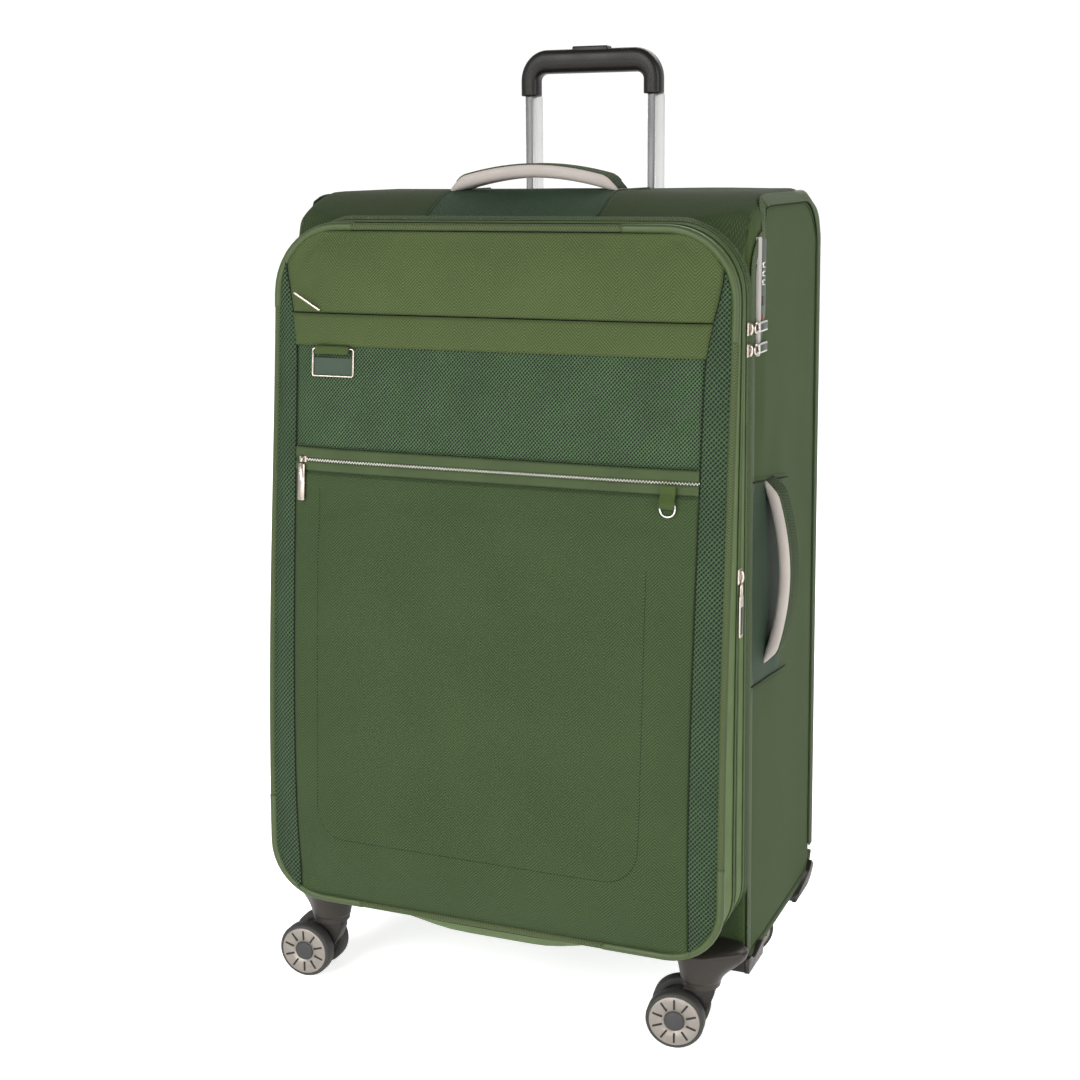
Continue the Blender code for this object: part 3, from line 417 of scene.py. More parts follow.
def plastic(name, colour, rough=0.42, grain=2200, relief=0.00007):
    """Moulded plastic with a fine grain and faint scuffs."""
    s = Shader(name)
    colour = srgb(colour)
    fine, cloud, scuffs = s.noise(grain), s.noise(25, 4.0), s.noise(180, 5.0)
    worn = s.ramp(scuffs, 0.62, 0.78, 0.0, 0.16)
    s.set(Base_Color=s.mix(worn, colour, [min(c * 2.6 + 0.02, 1) for c in colour]))
    s.set(Roughness=s.add(s.ramp(cloud, 0.3, 0.7, rough - 0.06, rough + 0.08), s.times(worn, 0.5)))
    s.set(Specular_IOR_Level=0.20, Normal=s.bump(fine, relief))
    return s.material


def metal(name, colour, rough=0.28, brush=(1.0, 1.0, 0.02), relief=0.00003, anisotropy=0.35):
    """Brushed metal. Its streaks are long where brush is small."""
    s = Shader(name)
    stretched = s.node("ShaderNodeMapping")
    s.feed(stretched.inputs["Vector"], s.place())
    stretched.inputs["Scale"].default_value = brush
    streaks, cloud = s.noise(2400, vector=stretched.outputs[0]), s.noise(70, 3.0)
    s.set(Base_Color=s.mix(s.ramp(cloud, 0.3, 0.75, 0.0, 0.25), colour, times(colour, 0.78)), Metallic=1.0)
    s.set(Roughness=s.add(s.ramp(streaks, 0.3, 0.7, rough - 0.07, rough + 0.08), s.times(cloud, 0.05)))
    s.set(Anisotropic=anisotropy, Normal=s.bump(streaks, relief, 0.6))
    return s.material


def disc_metal(name, colour):
    """Wheel cover: painted grey with faint streaks of brightness."""
    s = Shader(name)
    colour = srgb(colour)
    split = s.node("ShaderNodeSeparateXYZ")
    s.feed(split.inputs[0], s.place())
    turn = s.math("ARCTAN2", split.outputs[2], split.outputs[0])
    rays = s.wave(turn, 2 * math.pi / 90)
    cloud = s.noise(120, 4.0)
    s.set(Base_Color=s.mix(s.ramp(cloud, 0.35, 0.75, 0.0, 0.5), colour, times(colour, 0.7)))
    s.set(Metallic=0.55, Roughness=s.ramp(rays, 0, 1, 0.34, 0.46), Normal=s.bump(rays, 0.00006, 0.8))
    return s.material


SLOTS = {}


def slotted(slot, *materials):
    """Records in SLOTS which of the record's material slots these materials belong to."""
    SLOTS.update((material.name, slot) for material in materials)
    return materials if len(materials) > 1 else materials[0]


# One twill in four copies: the upper front's is the lightest; the lower front's, the sides' and the top's are
# painted darker as shade for where each sits.
TWILL, TWILL_LOW_SHADED, TWILL_SIDE_SHADED, TWILL_TOP_SHADED = slotted(
    "green_fabric",
    twill("olive_twill", (67, 79, 44), (42, 52, 28)),
    twill("olive_twill_low_shaded", (53, 67, 38), (31, 43, 24)),
    twill("olive_twill_side_shaded", (53, 66, 35), (40, 52, 27), 0.0026, 0.0002, 0.14),
    twill("olive_twill_top_shaded", (44, 56, 31), (30, 39, 21), 0.0028, 0.0002, 0.08),
)
NET, NET_STRIP, NET_FINE = slotted(
    "green_mesh",
    net("teal_net", (55, 76, 49), (6, 14, 6), 0.0033, 0.0011, 2.1, 0.6),
    net("teal_net_strip", (49, 69, 44), (8, 17, 8), 0.0040, 0.0010, 2.8, 0.6),
    net("teal_net_fine", (36, 54, 36), (14, 27, 16), 0.0026, 0.0005, 1.2, 0.2),
)
GUSSET, GUSSET_DARK, TAPE, POCKET_TAPE = slotted(
    "green_fabric",
    cloth("olive_gusset", (78, 96, 54)),
    cloth("olive_gusset_dark", (42, 54, 30)),
    cloth("zip_tape", (62, 77, 45), 0.0010, 0.00012),
    cloth("pocket_tape", (54, 67, 39), 0.0010, 0.00012),
)
LINING = cloth("grey_lining", (52, 54, 56), 0.0008, 0.00008, 0.6, 0.1)
BRAID, BRAID_DARK, VINYL, THREAD, PAINTED_SEAM_SHADOW, STRAP = slotted(
    "green_fabric",
    braid("olive_braid", (65, 76, 45), (38, 46, 25)),
    braid("olive_braid_dark", (64, 77, 48), (40, 50, 30)),
    vinyl("olive_vinyl", (46, 58, 27)),
    cloth("thread", (38, 50, 27), 0.0006, 0.0001, 0.6, 0.1),
    # Near-black cloth drawn as lines along seams and gaps: painted shadow.
    cloth("seam_shadow", (18, 25, 14), 0.0008, 0.0001, 0.9, 0.0),
    cloth("olive_strap", (50, 66, 22), 0.0011, 0.0003, 0.6, 0.1),
)
HANDLE_MESH = slotted(
    "grey_mesh",
    net("pale_handle_mesh", (160, 153, 147), (122, 116, 111), 0.0020, 0.0002, 0.8, 0.05),
)
PLASTIC, PLASTIC_GRIP, PLASTIC_TURRET = slotted(
    "black_plastic",
    plastic("black_plastic", (28, 26, 23)),
    plastic("grip_plastic", (15, 13, 11), 0.36, 2600, 0.00006),
    plastic("housing_plastic", (38, 34, 30), 0.40),
)
TYRE, HUB, DISC = slotted(
    "tyre",
    plastic("tyre_rubber", (46, 45, 43), 0.62, 1500, 0.00010),
    plastic("hub_plastic", (48, 48, 48), 0.45),
    disc_metal("wheel_disc", (122, 116, 109)),
)
TUBE = slotted("aluminium", metal("silver_tube", (0.80, 0.80, 0.79), 0.27, (1.0, 1.0, 0.01)))
# Near-black copy of the tube metal for the tubes' front faces: painted shade standing for the dark reflection
# they show, not a finish of their own.
TUBE_FRONT_SHADE = metal("matt_tube_front", (0.10, 0.10, 0.10), 0.45, (1.0, 1.0, 0.01))
ROSE, SILVER = slotted(
    "satin_metal",
    metal("satin_hardware", (0.44, 0.38, 0.33), 0.26, (0.05, 1.0, 1.0), 0.00002, 0.2),
    metal("pale_hardware", (0.50, 0.48, 0.45), 0.30, (1.0, 1.0, 0.04), 0.00002, 0.2),
)
STEEL = slotted("steel", metal("steel_pin", (0.60, 0.60, 0.60), 0.30))
LOCK_BAR, LOCK_FACE, INLAY, RED = slotted(
    "satin_metal",
    plastic("lock_bar", (142, 138, 132), 0.40),
    plastic("lock_face", (46, 58, 46), 0.45),
    plastic("tab_inlay", (38, 52, 40), 0.45),
    plastic("red_mark", (190, 40, 36), 0.35),
)
COIL = slotted("green_fabric", plastic("dark_coil", (44, 56, 42), 0.42, 1500))


# Mesh building


def linked(name, data):
    obj = bpy.data.objects.new(name, data)
    bpy.context.scene.collection.objects.link(obj)
    return obj


def build(name, points, faces, uvs, materials, body, face_material=None, replaces=(), slot=None, flat=False):
    """One mesh object in design coordinates, with a UV per point in metres."""
    if not isinstance(materials, (list, tuple)):
        materials = [materials]
    mesh = bpy.data.meshes.new(name)
    place = np.asarray(points, float) + np.array(OFFSET)
    mesh.from_pydata([tuple(p) for p in place], [], faces)
    layer = mesh.uv_layers.new(name="UVMap")
    corner = np.zeros(len(mesh.loops), np.int32)
    mesh.loops.foreach_get("vertex_index", corner)
    layer.data.foreach_set("uv", np.asarray(uvs, np.float32)[corner].ravel())
    for material in materials:
        mesh.materials.append(material)
    if face_material is not None:
        mesh.polygons.foreach_set("material_index", np.asarray(face_material, np.int32))
    mesh.update()
    if not flat:
        mesh.shade_smooth()
    obj = linked(name, mesh)
    slot = slot or SLOTS.get(materials[0].name)
    if body:
        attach(obj, body)
    if replaces:
        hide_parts(*replaces)
    return obj


def front_uv(p):
    return p[0], p[2]


def lengths(points):
    steps = np.linalg.norm(np.diff(np.asarray(points, float), axis=0), axis=1)
    return np.concatenate([[0.0], np.cumsum(steps)])


def grid_faces(rows, columns, flip=False):
    faces = []
    for r in range(rows - 1):
        for c in range(columns - 1):
            a, b = r * columns + c, (r + 1) * columns + c
            faces.append((b, b + 1, a + 1, a) if flip else (a, a + 1, b + 1, b))
    return faces


def sheet(name, grid, material, body, uv=None, flip=False, replaces=(), wrap=False):
    """A surface from rows of points. Its UVs are arc lengths unless given as a function of a point."""
    grid = np.asarray(grid, float)
    if wrap:
        grid = np.concatenate([grid, grid[:, :1]], axis=1)
    rows, columns = grid.shape[:2]
    if uv is None:
        across = np.stack([lengths(row) for row in grid])
        down = np.stack([lengths(grid[:, c]) for c in range(columns)], axis=1)
        uvs = np.stack([across, down], axis=2).reshape(-1, 2)
    else:
        uvs = [uv(p) for p in grid.reshape(-1, 3)]
    return build(name, grid.reshape(-1, 3), grid_faces(rows, columns, flip), uvs, material, body, None,
                 replaces)


def resample(path, step, closed=False):
    path = np.asarray(path, float)
    if closed:
        path = np.concatenate([path, path[:1]])
    along = lengths(path)
    count = max(2, int(round(along[-1] / step)))
    at = np.linspace(0, along[-1], count + 1)
    if closed:
        at = at[:-1]
    return np.stack([np.interp(at, along, path[:, i]) for i in range(3)], axis=1)


def unit(vectors):
    return vectors / np.maximum(np.linalg.norm(vectors, axis=1, keepdims=True), 1e-9)


def tangents(path, closed):
    if closed:
        return unit(np.roll(path, -1, axis=0) - np.roll(path, 1, axis=0))
    return unit(np.concatenate([path[1:], path[-1:]]) - np.concatenate([path[:1], path[:-1]]))


def frames(path, out, closed):
    """Unit (tangent, across, outward) triples along a path; out is a direction or one per point."""
    along = tangents(path, closed)
    across = unit(np.cross(along, np.broadcast_to(np.asarray(out, float), path.shape)))
    return along, across, np.cross(across, along)


def outward(loop):
    """Directions out of the lid or case, square to its sides, for each point of a loop."""
    path = np.asarray(loop, float)
    out = np.cross(tangents(path, True), (0, 1.0, 0))
    away = path * (1, 0, 1) - (0, 0, LID_MIDDLE)
    sign = np.sign((out * away).sum(1, keepdims=True))
    sign[sign == 0] = 1
    return unit(out * sign)


def sweep(name, path, out, profile, material, body, closed=False, scale=None, replaces=(), slot=None):
    """Runs a closed profile of (across, outward) points along a path."""
    path = np.asarray(path, float)
    _, across, up = frames(path, out, closed)
    profile = np.asarray(profile, float)
    count = len(profile)
    size = np.ones(len(path)) if scale is None else np.asarray(scale, float)
    a, b = profile[None, :, 0, None], profile[None, :, 1, None]
    rings = path[:, None, :] + size[:, None, None] * (a * across[:, None, :] + b * up[:, None, :])
    if closed:
        rings = np.concatenate([rings, rings[:1]])
        path = np.concatenate([path, path[:1]])
    loop = np.concatenate([rings, rings[:, :1]], axis=1)
    round_u = lengths(np.concatenate([profile, profile[:1]]))
    uvs = np.stack(np.broadcast_arrays(lengths(path)[:, None], round_u[None, :]), axis=2).reshape(-1, 2)
    points = loop.reshape(-1, 3)
    faces = grid_faces(len(loop), count + 1)
    if not closed:
        base, last = len(points), (len(loop) - 1) * (count + 1)
        points = np.concatenate([points, loop[0].mean(0)[None], loop[-1].mean(0)[None]])
        uvs = np.concatenate([uvs, [[0, 0], [0, 0]]])
        faces += [(i + 1, i, base) for i in range(count)]
        faces += [(last + i, last + i + 1, base + 1) for i in range(count)]
    return build(name, points, faces, uvs, material, body, None, replaces, slot)


def ray_turns(count, shift=0.0):
    return [2 * math.pi * (i + shift) / count for i in range(count)]


def circle(radius, sides=12, squash=1.0):
    return [(radius * math.cos(t), radius * squash * math.sin(t)) for t in ray_turns(sides)]


def ribbon(width, thickness, steps=3):
    """A rounded ribbon section, resting on its base line."""
    r = thickness / 2
    return arc(width / 2 - r, r, r, -90, 90, steps) + arc(r - width / 2, r, r, 90, 270, steps)


# Stitches: pitch, length, width and height.
PLAIN_STITCH = (0.0034, 0.0023, 0.0006, 0.0004)


def stitches(name, path, out, material, body, size=PLAIN_STITCH, sideways=0.0, closed=False):
    """Small raised dashes along a seam. sideways shifts them to both sides in turn, for zip teeth."""
    pitch, length, width, height = size
    path = np.asarray(path, float)
    spots = resample(path, pitch, closed)
    if np.ndim(out) > 1:
        out = np.asarray(out, float)
        if closed:
            path, out = np.concatenate([path, path[:1]]), np.concatenate([out, out[:1]])
        table = lengths(path)
        at = np.linspace(0, table[-1], len(spots) + closed)[: len(spots)]
        out = np.stack([np.interp(at, table, out[:, i]) for i in range(3)], axis=1)
    along, across, up = frames(spots, out, closed)
    block = [(a * k, b, c) for a in (-1, 1)
             for k, b, c in ((1, -1, 0), (0.72, -0.6, 1), (0.72, 0.6, 1), (1, 1, 0))]
    quads = [(0, 1, 5, 4), (1, 2, 6, 5), (2, 3, 7, 6), (0, 3, 2, 1), (4, 5, 6, 7)]
    points, faces, uvs = [], [], []
    for i, spot in enumerate(spots):
        shift = sideways * (1 if i % 2 else -1)
        base = len(points)
        for a, b, c in block:
            flat = along[i] * a * length / 2 + across[i] * (b * width / 2 + shift)
            points.append(spot + flat + up[i] * (c * height - 0.0001))
            uvs.append((a * length / 2 + i * pitch, b * width / 2))
        faces += [tuple(base + k for k in quad) for quad in quads]
    return build(name, points, faces, uvs, material, body)


def round_edges(obj, width, segments, angle=30, sharp=True):
    """Bevels a hard piece's edges and applies its modifiers."""
    bevel = obj.modifiers.new("round", "BEVEL")
    bevel.width, bevel.segments, bevel.harden_normals = width, segments, True
    bevel.limit_method, bevel.angle_limit = "ANGLE", math.radians(angle)
    bpy.context.view_layer.update()
    done = bpy.data.meshes.new_from_object(obj.evaluated_get(bpy.context.evaluated_depsgraph_get()))
    obj.modifiers.clear()
    obj.data = done
    done.shade_smooth()
    if sharp:
        done.set_sharp_from_angle(angle=math.radians(50))
    return obj


def refined(node, material, bevel=0.0005, segments=2, angle=30):
    """A visible copy of a hard CAD node with finely rounded edges; the node keeps its collision."""
    source = frame["nodes"][node]
    mesh = source.data.copy()
    obj = linked(node + "_finish", mesh)
    mesh.materials.clear()
    mesh.materials.append(material)
    mesh.polygons.foreach_set("material_index", np.zeros(len(mesh.polygons), np.int32))
    obj.modifiers.new("weld", "WELD").merge_threshold = 0.00002
    round_edges(obj, bevel, segments, angle)
    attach(obj, source["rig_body"])
    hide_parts(node)
    return obj


def about(middle, half):
    """The two ends of a range with this middle."""
    return middle - half, middle + half


def box_piece(name, xs, ys, zs, material, body, bevel, segments=2, replaces=()):
    """A finely rounded block between two values of x, of y and of z."""
    corners = [(x, y, z) for x in xs for y in ys for z in zs]
    faces = [(0, 1, 3, 2), (4, 6, 7, 5), (0, 4, 5, 1), (2, 3, 7, 6), (0, 2, 6, 4), (1, 5, 7, 3)]
    uvs = [(p[1] + p[0], p[2]) for p in corners]
    return round_edges(build(name, corners, faces, uvs, material, body, None, replaces), bevel, segments)


def lathe(name, profile, centre, axis, material, body, sides=48, replaces=()):
    """Turns (radius, height) points round an axis through centre."""
    axis = unit(np.asarray(axis, float)[None])[0]
    first = unit(np.cross(axis, UP if abs(axis[2]) < 0.9 else RIGHT)[None].astype(float))[0]
    second = np.cross(axis, first)
    turns = [2 * math.pi * i / sides for i in range(sides + 1)]
    grid = [
        [np.asarray(centre) + axis * height + radius * (first * math.cos(t) + second * math.sin(t))
         for t in turns]
        for radius, height in profile
    ]
    obj = sheet(name, grid, material, body, None, False, replaces)
    return obj


# Case


def side_swell(p):
    """How far the fabric side stands out from the plain shape."""
    x, y, z = p
    inside = smooth((y - ZIP - 0.012) / 0.03) * smooth((CASE_BACK - 0.014 - y) / 0.03)
    inside *= smooth((z - CASE_BASE - 0.012) / 0.03) * smooth((case_top(y) - 0.014 - z) / 0.03)
    swell = 0.0012 + 0.0022 * wander(p, 7.0, 3.1) + 0.0010 * wander(p, 21.0, 8.0)
    if x > 0:
        swell += 0.0042 * bell(y - 0.004, 0.022) * bell(z - 0.43, 0.105)
        fold = bell((y + 0.052) - 0.05 * (z - 0.62), 0.010) * smooth((z - 0.54) / 0.03)
        swell += 0.0011 * fold * smooth((0.66 - z) / 0.05)
    return inside * swell


def top_swell(p):
    inside = smooth((CASE_HALF - 0.02 - abs(p[0])) / 0.03) * smooth((p[1] - ZIP - 0.004) / 0.02)
    return inside * (0.0004 + 0.0016 * wander(p, 9.0, 5.0))


def is_side(x, z, margin=0.004):
    return abs(x) > flared(CASE_HALF, z) - margin


def swollen(p):
    x, y, z = p
    if is_side(x, z):
        return (x + math.copysign(side_swell(p), x), y, z)
    return (x, y, z + top_swell(p)) if z > case_top(y) - 0.004 else p


def closing(last, middle, shares):
    """Rings that close a surface towards a middle point, at shares of the last ring's size."""
    return [middle + (last - middle) * (share, 1, share) for share in shares]


def build_case():
    depths = [0.0005, 0.002, 0.006, 0.010, 0.014, 0.020, 0.027, 0.035, 0.045, 0.058, 0.072, 0.088, 0.104]
    depths += [0.120, 0.136, 0.152, 0.168, 0.182, 0.192, 0.202, 0.212, 0.220, 0.227, 0.232, 0.236, 0.239]
    depths = [ZIP + d for d in depths if ZIP + d < CASE_BACK - 0.002]
    depths += [CASE_BACK - 0.0015, CASE_BACK - 0.0004, CASE_BACK]
    outside = np.asarray([[swollen(p) for p in case_loop(y, 0.0)] for y in depths])
    # The front edge: from the opening outwards to the outline, then back over the sides.
    lip = [np.asarray(rim_loop(depths[0], inset)) for inset in (0.0008, 0.0016, 0.0036)]
    steps = [lip[2], lip[1] + (0, -0.0006, 0), lip[0] + (0, -0.0008, 0)]
    for share in (0.12, 0.5, 0.9):
        steps.append(lip[0] * (1 - share) + outside[0] * share + (0, -0.0008 * (1 - share), 0))
    shares = (0.985, 0.95, 0.88, 0.75, 0.55, 0.3, 0.02, 0.0005)
    back = closing(outside[-1], np.array([0.0, CASE_BACK, 0.41]), shares)
    back = [row + (0, 0.0012 * (1 - share), 0) for row, share in zip(back, shares)]
    grid = np.concatenate([steps, outside, back])
    grid = np.concatenate([grid, grid[:, :1]], axis=1)
    rows, columns = grid.shape[:2]
    uvs = []
    for r in range(rows):
        on_side = len(steps) < r < rows - len(back) - 1
        uvs += [(x, z) if not on_side else (y, z) if is_side(x, z) else (x, y) for x, y, z in grid[r]]
    points = grid.reshape(-1, 3)
    faces, kinds = [], []
    for face in grid_faces(rows, columns):
        x, y, z = points[list(face)].mean(0)
        side = is_side(x, z, 0.006)
        in_well = y > WELL_FRONT and abs(x) < WELL_HALF and z > WELL_FLOOR
        if in_well and not side:
            continue
        upper = z > case_top(min(y, CASE_BACK - 0.06)) - 0.06
        faces.append(face)
        # Side faces, top faces and the rest each take their own twill copy, painted darker as shade.
        kinds.append(1 if side else 2 if upper else 0)
    build("case_fabric", points, faces, uvs, [TWILL_LOW_SHADED, TWILL_SIDE_SHADED, TWILL_TOP_SHADED], "case", kinds,
          ("case_shell", "opening_frame"))
    # Lining: a lip, the inner walls and the inner back that covers the trolley tubes.
    inner = [rim_loop(depths[0], 0.0036), rim_loop(ZIP + 0.004, 0.0052), rim_loop(ZIP + 0.006, 0.0084)]
    inner.append(rim_loop(ZIP + 0.014, 0.0086))
    walls = (ZIP + 0.020, ZIP + 0.05, 0.0, 0.05, 0.090, 0.098)
    inner += [case_loop(y, 0.0055 if y < 0.09 else 0.010) for y in walls]
    inner.append(case_loop(0.098, 0.022, 0.1015))
    inner += closing(np.asarray(inner[-1]), np.array([0.0, 0.1022, 0.42]), (0.9, 0.6, 0.3, 0.02, 0.0005))
    inner = [[(x, y, min(z, 0.7145) if y > 0.09 else z) for x, y, z in row] for row in inner]
    sheet("case_lining", inner, LINING, "case", lambda p: (p[0] + p[1], p[2] + p[1]), True, (), True)


def corner_fall(y, z):
    """How far the case's side falls inwards at its rounded top corner, and the sine of its slope there."""
    corner = top_corner(y)
    past = min(max(z - (case_top(y) - corner), 0.0), corner * 0.97)
    return corner - math.sqrt(corner**2 - past**2) + waist(y), past / corner


def side_outline(side, inset, lift=0.0006):
    """The side panel's border seen from the side: up the front edge, over the top and down the back."""
    front, turn_z, corner = ZIP + 0.0035 + inset, 0.712 - inset, 0.034
    foot = CASE_BASE + 0.010
    points = [(front, foot + (turn_z - foot) * i / 29) for i in range(30)]
    for t in [math.pi / 2 * i / 8 for i in range(1, 8)]:
        points.append((front + corner * (1 - math.cos(t)), turn_z + corner * 0.98 * math.sin(t)))
    rear = CASE_BACK - 0.002 - inset
    y = front + corner
    while y < rear:
        points.append((y, case_top(y + inset * smooth((y - 0.05) / 0.06)) - 0.0025 - inset))
        y += 0.004
    z = points[-1][1] - 0.004
    while z > CASE_BASE + 0.03:
        points.append((rear, z))
        z -= 0.012
    path, out = [], []
    for y, z in points:
        fall, slope = corner_fall(y, z)
        path.append((side * (flared(CASE_HALF - fall, z) + lift), y, z + lift * slope))
        out.append((side * math.sqrt(1 - slope**2), 0, slope))
    return path, out


def build_case_trim():
    for side, label in SIDES:
        path, out = side_outline(side, 0.0055, 0.0008)
        sweep("side_border_tape_" + label, path, out, ribbon(0.0115, 0.0013), BRAID_DARK, "case")
        # A thin line of the darker gusset cloth inside the tape: painted shade along the seam.
        path, out = side_outline(side, 0.0118)
        sweep("side_border_seam_" + label, path, out, circle(0.0005, 6), GUSSET_DARK, "case")
        # Piping down the rear corner, with a moulded cover over the upper end.
        top = CASE_TOP - 0.080
        corner = [(side * (flared(CASE_HALF, z) - 0.0022), CASE_BACK - 0.0022, z)
                  for z in [top - (top - CASE_BASE - 0.030) * i / 59 for i in range(60)]]
        sweep("rear_piping_" + label, resample(corner, 0.006), (side, 0.3, 0), circle(0.0030), BRAID_DARK,
              "case")
        cap = []
        for i in range(24):
            y = 0.060 + (CASE_BACK - 0.0022 - 0.060) * (i / 23)
            z = case_top(y) - 0.0050
            back = smooth((y - CASE_BACK + 0.030) / 0.025)
            fall = corner_fall(y, z)[0] * (1 - back) + 0.0020 * back
            cap.append((side * (flared(CASE_HALF, z) - fall), y, z + 0.0038 * back))
        low = cap[-1][2]
        for z in [low - (low - (CASE_TOP - 0.125)) * i / 11 for i in range(1, 12)]:
            cap.append((side * (flared(CASE_HALF, z) - 0.0020), CASE_BACK - 0.0020, z))
        cap = resample(cap, 0.004)
        taper = [min(1.0, 0.60 + 0.06 * i) for i in range(len(cap))]
        sweep("rear_corner_piping_" + label, cap, (side, 0.3, 0), circle(0.0034, 14), VINYL, "case",
              scale=taper)
    for side, label in SIDES:
        x = side * (flared(CASE_HALF, CASE_BASE) - 0.0020)
        edge = [(x, y, CASE_BASE + 0.0030 + drop(CASE_BACK - y, CASE_HEEL))
                for y in np.linspace(ZIP + 0.004, CASE_BACK - 0.003, 60)]
        sweep("base_binding_" + label, edge, (side, 0, -0.3), circle(0.0034), BRAID_DARK, "case")


def build_inserts():
    """Mesh inserts sewn into the case under both carry handles."""
    half = 0.083
    xs = [half * (i / 12 - 1) for i in range(25)]
    rows = []
    for y in [ZIP + 0.004 + (0.052 - ZIP) * j / 25 for j in range(26)]:
        rows.append([(x, y, case_top(y) + top_swell((x, y, CASE_TOP)) + 0.0007) for x in xs])
    sheet("top_mesh_insert", rows, NET_FINE, "case", lambda p: (p[0], p[1]))
    for side, label in SIDES:
        # Thin lines of the darker gusset cloth along the insert's edges: painted shade at the seams.
        line = [(side * half, y, case_top(y) + 0.0012) for y in np.linspace(ZIP + 0.004, 0.056, 30)]
        sweep("top_insert_seam_" + label, line, UP, circle(0.0008, 8), GUSSET_DARK, "case")
        line = [(x + side * 0.004, y, z - 0.0005) for x, y, z in line]
        stitches("top_insert_stitch_" + label, line, UP, THREAD, "case")
    rows = []
    for j in range(30):
        row = []
        for i in range(20):
            back = 0.0835 * i / 19
            y = -0.0795 + back
            low, high = 0.3385 - 0.072 * (y + 0.0795), 0.5240 - 0.115 * (y + 0.0795)
            z = low + (high - low) * j / 29
            lift = 0.0007 + 0.0020 * math.sqrt(math.sin(math.pi * j / 29) * math.sin(math.pi * i / 19))
            row.append((flared(CASE_HALF, z) + side_swell((1, y, z)) + lift, y, z))
        rows.append(row)
    sheet("side_mesh_insert", rows, NET_FINE, "case", lambda p: (p[1], p[2]), True)
    # Dark lines along the insert's upper and lower seams, running on into the hollow beside the handle:
    # painted shadow.
    for number, row, dz, sink in (("1", rows[0], -0.001, 0.0005), ("2", rows[-1], 0.001, 0.0008)):
        line = [(x + 0.0006, y, z + dz) for x, y, z in row]
        x, y, z = line[-1]
        line += [(x + 0.0004, y + 0.007 * k, z - sink * k) for k in (1, 2, 3)]
        sweep("side_insert_seam_" + number, resample(line, 0.004), RIGHT, circle(0.0007, 8), PAINTED_SEAM_SHADOW,
              "case")
        line = [(x + 0.0002, y, z + dz * 4) for x, y, z in line]
        stitches("side_insert_stitch_" + number, line, RIGHT, THREAD, "case")


# Carry handles


def build_handle(name, node, centre, along, out, across, width, gap, thick, half):
    """An arched padded strap: pale mesh below and round its edges, green twill above.

    It spans half to each side of centre, stands gap clear of the case, and is width by thick.
    """
    centre, along, out, across = (np.asarray(v, float) for v in (centre, along, out, across))
    shares = [-1 + 2 * i / 44 for i in range(45)]
    arches = [1 - abs(t) ** 1.9 for t in shares]
    path = np.asarray([centre + along * t * half + out * (gap * arch + thick / 2 * min(1, 0.30 + 2.4 * arch))
                       for t, arch in zip(shares, arches)])
    broad = [0.88 + 0.12 * min(1.0, 0.42 + 3.2 * arch) for arch in arches]
    flat = [min(1.0, 0.30 + 2.4 * (1 - abs(t) ** 2.1)) for t in shares]
    up = unit(np.cross(across, tangents(path, False)))
    up *= np.where(up @ out < 0, -1, 1)[:, None]
    section = rounded_rectangle(width / 2, thick / 2, thick * 0.46, 5)
    count = len(section)
    rings = np.asarray([[p + across * a * broad[i] + up[i] * b * flat[i] for a, b in section]
                        for i, p in enumerate(path)])
    loop = np.concatenate([rings, rings[:, :1]], axis=1)
    uvs = [(a, b) for a in lengths(path) for b in np.linspace(0, 2 * (width + thick), count + 1)]
    faces = grid_faces(len(loop), count + 1)
    heights = [(section[c][1] + section[(c + 1) % count][1]) / 2 for c in range(count)]
    kinds = [1 if heights[face[0] % (count + 1) % count] > thick * 0.38 else 0 for face in faces]
    last = (len(loop) - 1) * (count + 1)
    ends = [tuple(range(count)), tuple(range(last, last + count))]
    # The top of the strap takes the top's twill copy, painted darker as shade.
    strap = build(name, loop.reshape(-1, 3), faces + ends, uvs, [HANDLE_MESH, TWILL_TOP_SHADED], "case",
                  kinds + [0, 0], (node,))
    for side, label in ((-1, "a"), (1, "b")):
        edge = side * (width / 2 - thick * 0.34)
        line = [p + across * edge * broad[i] + up[i] * thick * 0.455 * flat[i] for i, p in enumerate(path)]
        sweep("%s_edge_%s" % (name, label), line[2:-2], out, circle(0.0009, 8), BRAID_DARK, "case",
              slot="grey_mesh")


def build_handles():
    low, high, middle = design_box("top_handle")
    build_handle("top_handle_strap", "top_handle", (0, middle.y, CASE_TOP - 0.0012), RIGHT, UP, (0, 1, 0),
                 high.y - low.y, 0.0135, 0.0128, (high.x - low.x) / 2 - 0.003)
    low, high, middle = design_box("side_handle")
    lean = Vector((-CASE_HALF * FLARE / (CASE_TOP - CASE_BASE), 0, 1)).normalized()
    start = (flared(CASE_HALF, middle.z) - 0.0004, middle.y, middle.z)
    build_handle("side_handle_strap", "side_handle", start, lean, RIGHT, (0, 1, 0), high.y - low.y, 0.0155,
                 0.0122, (high.z - low.z) / 2 + 0.001)


# Lid


def lid_rows(shares, inset, forward=0.0):
    return [[(x, y - forward, z) for x, y, z in lid_loop(share, inset)] for share in shares]


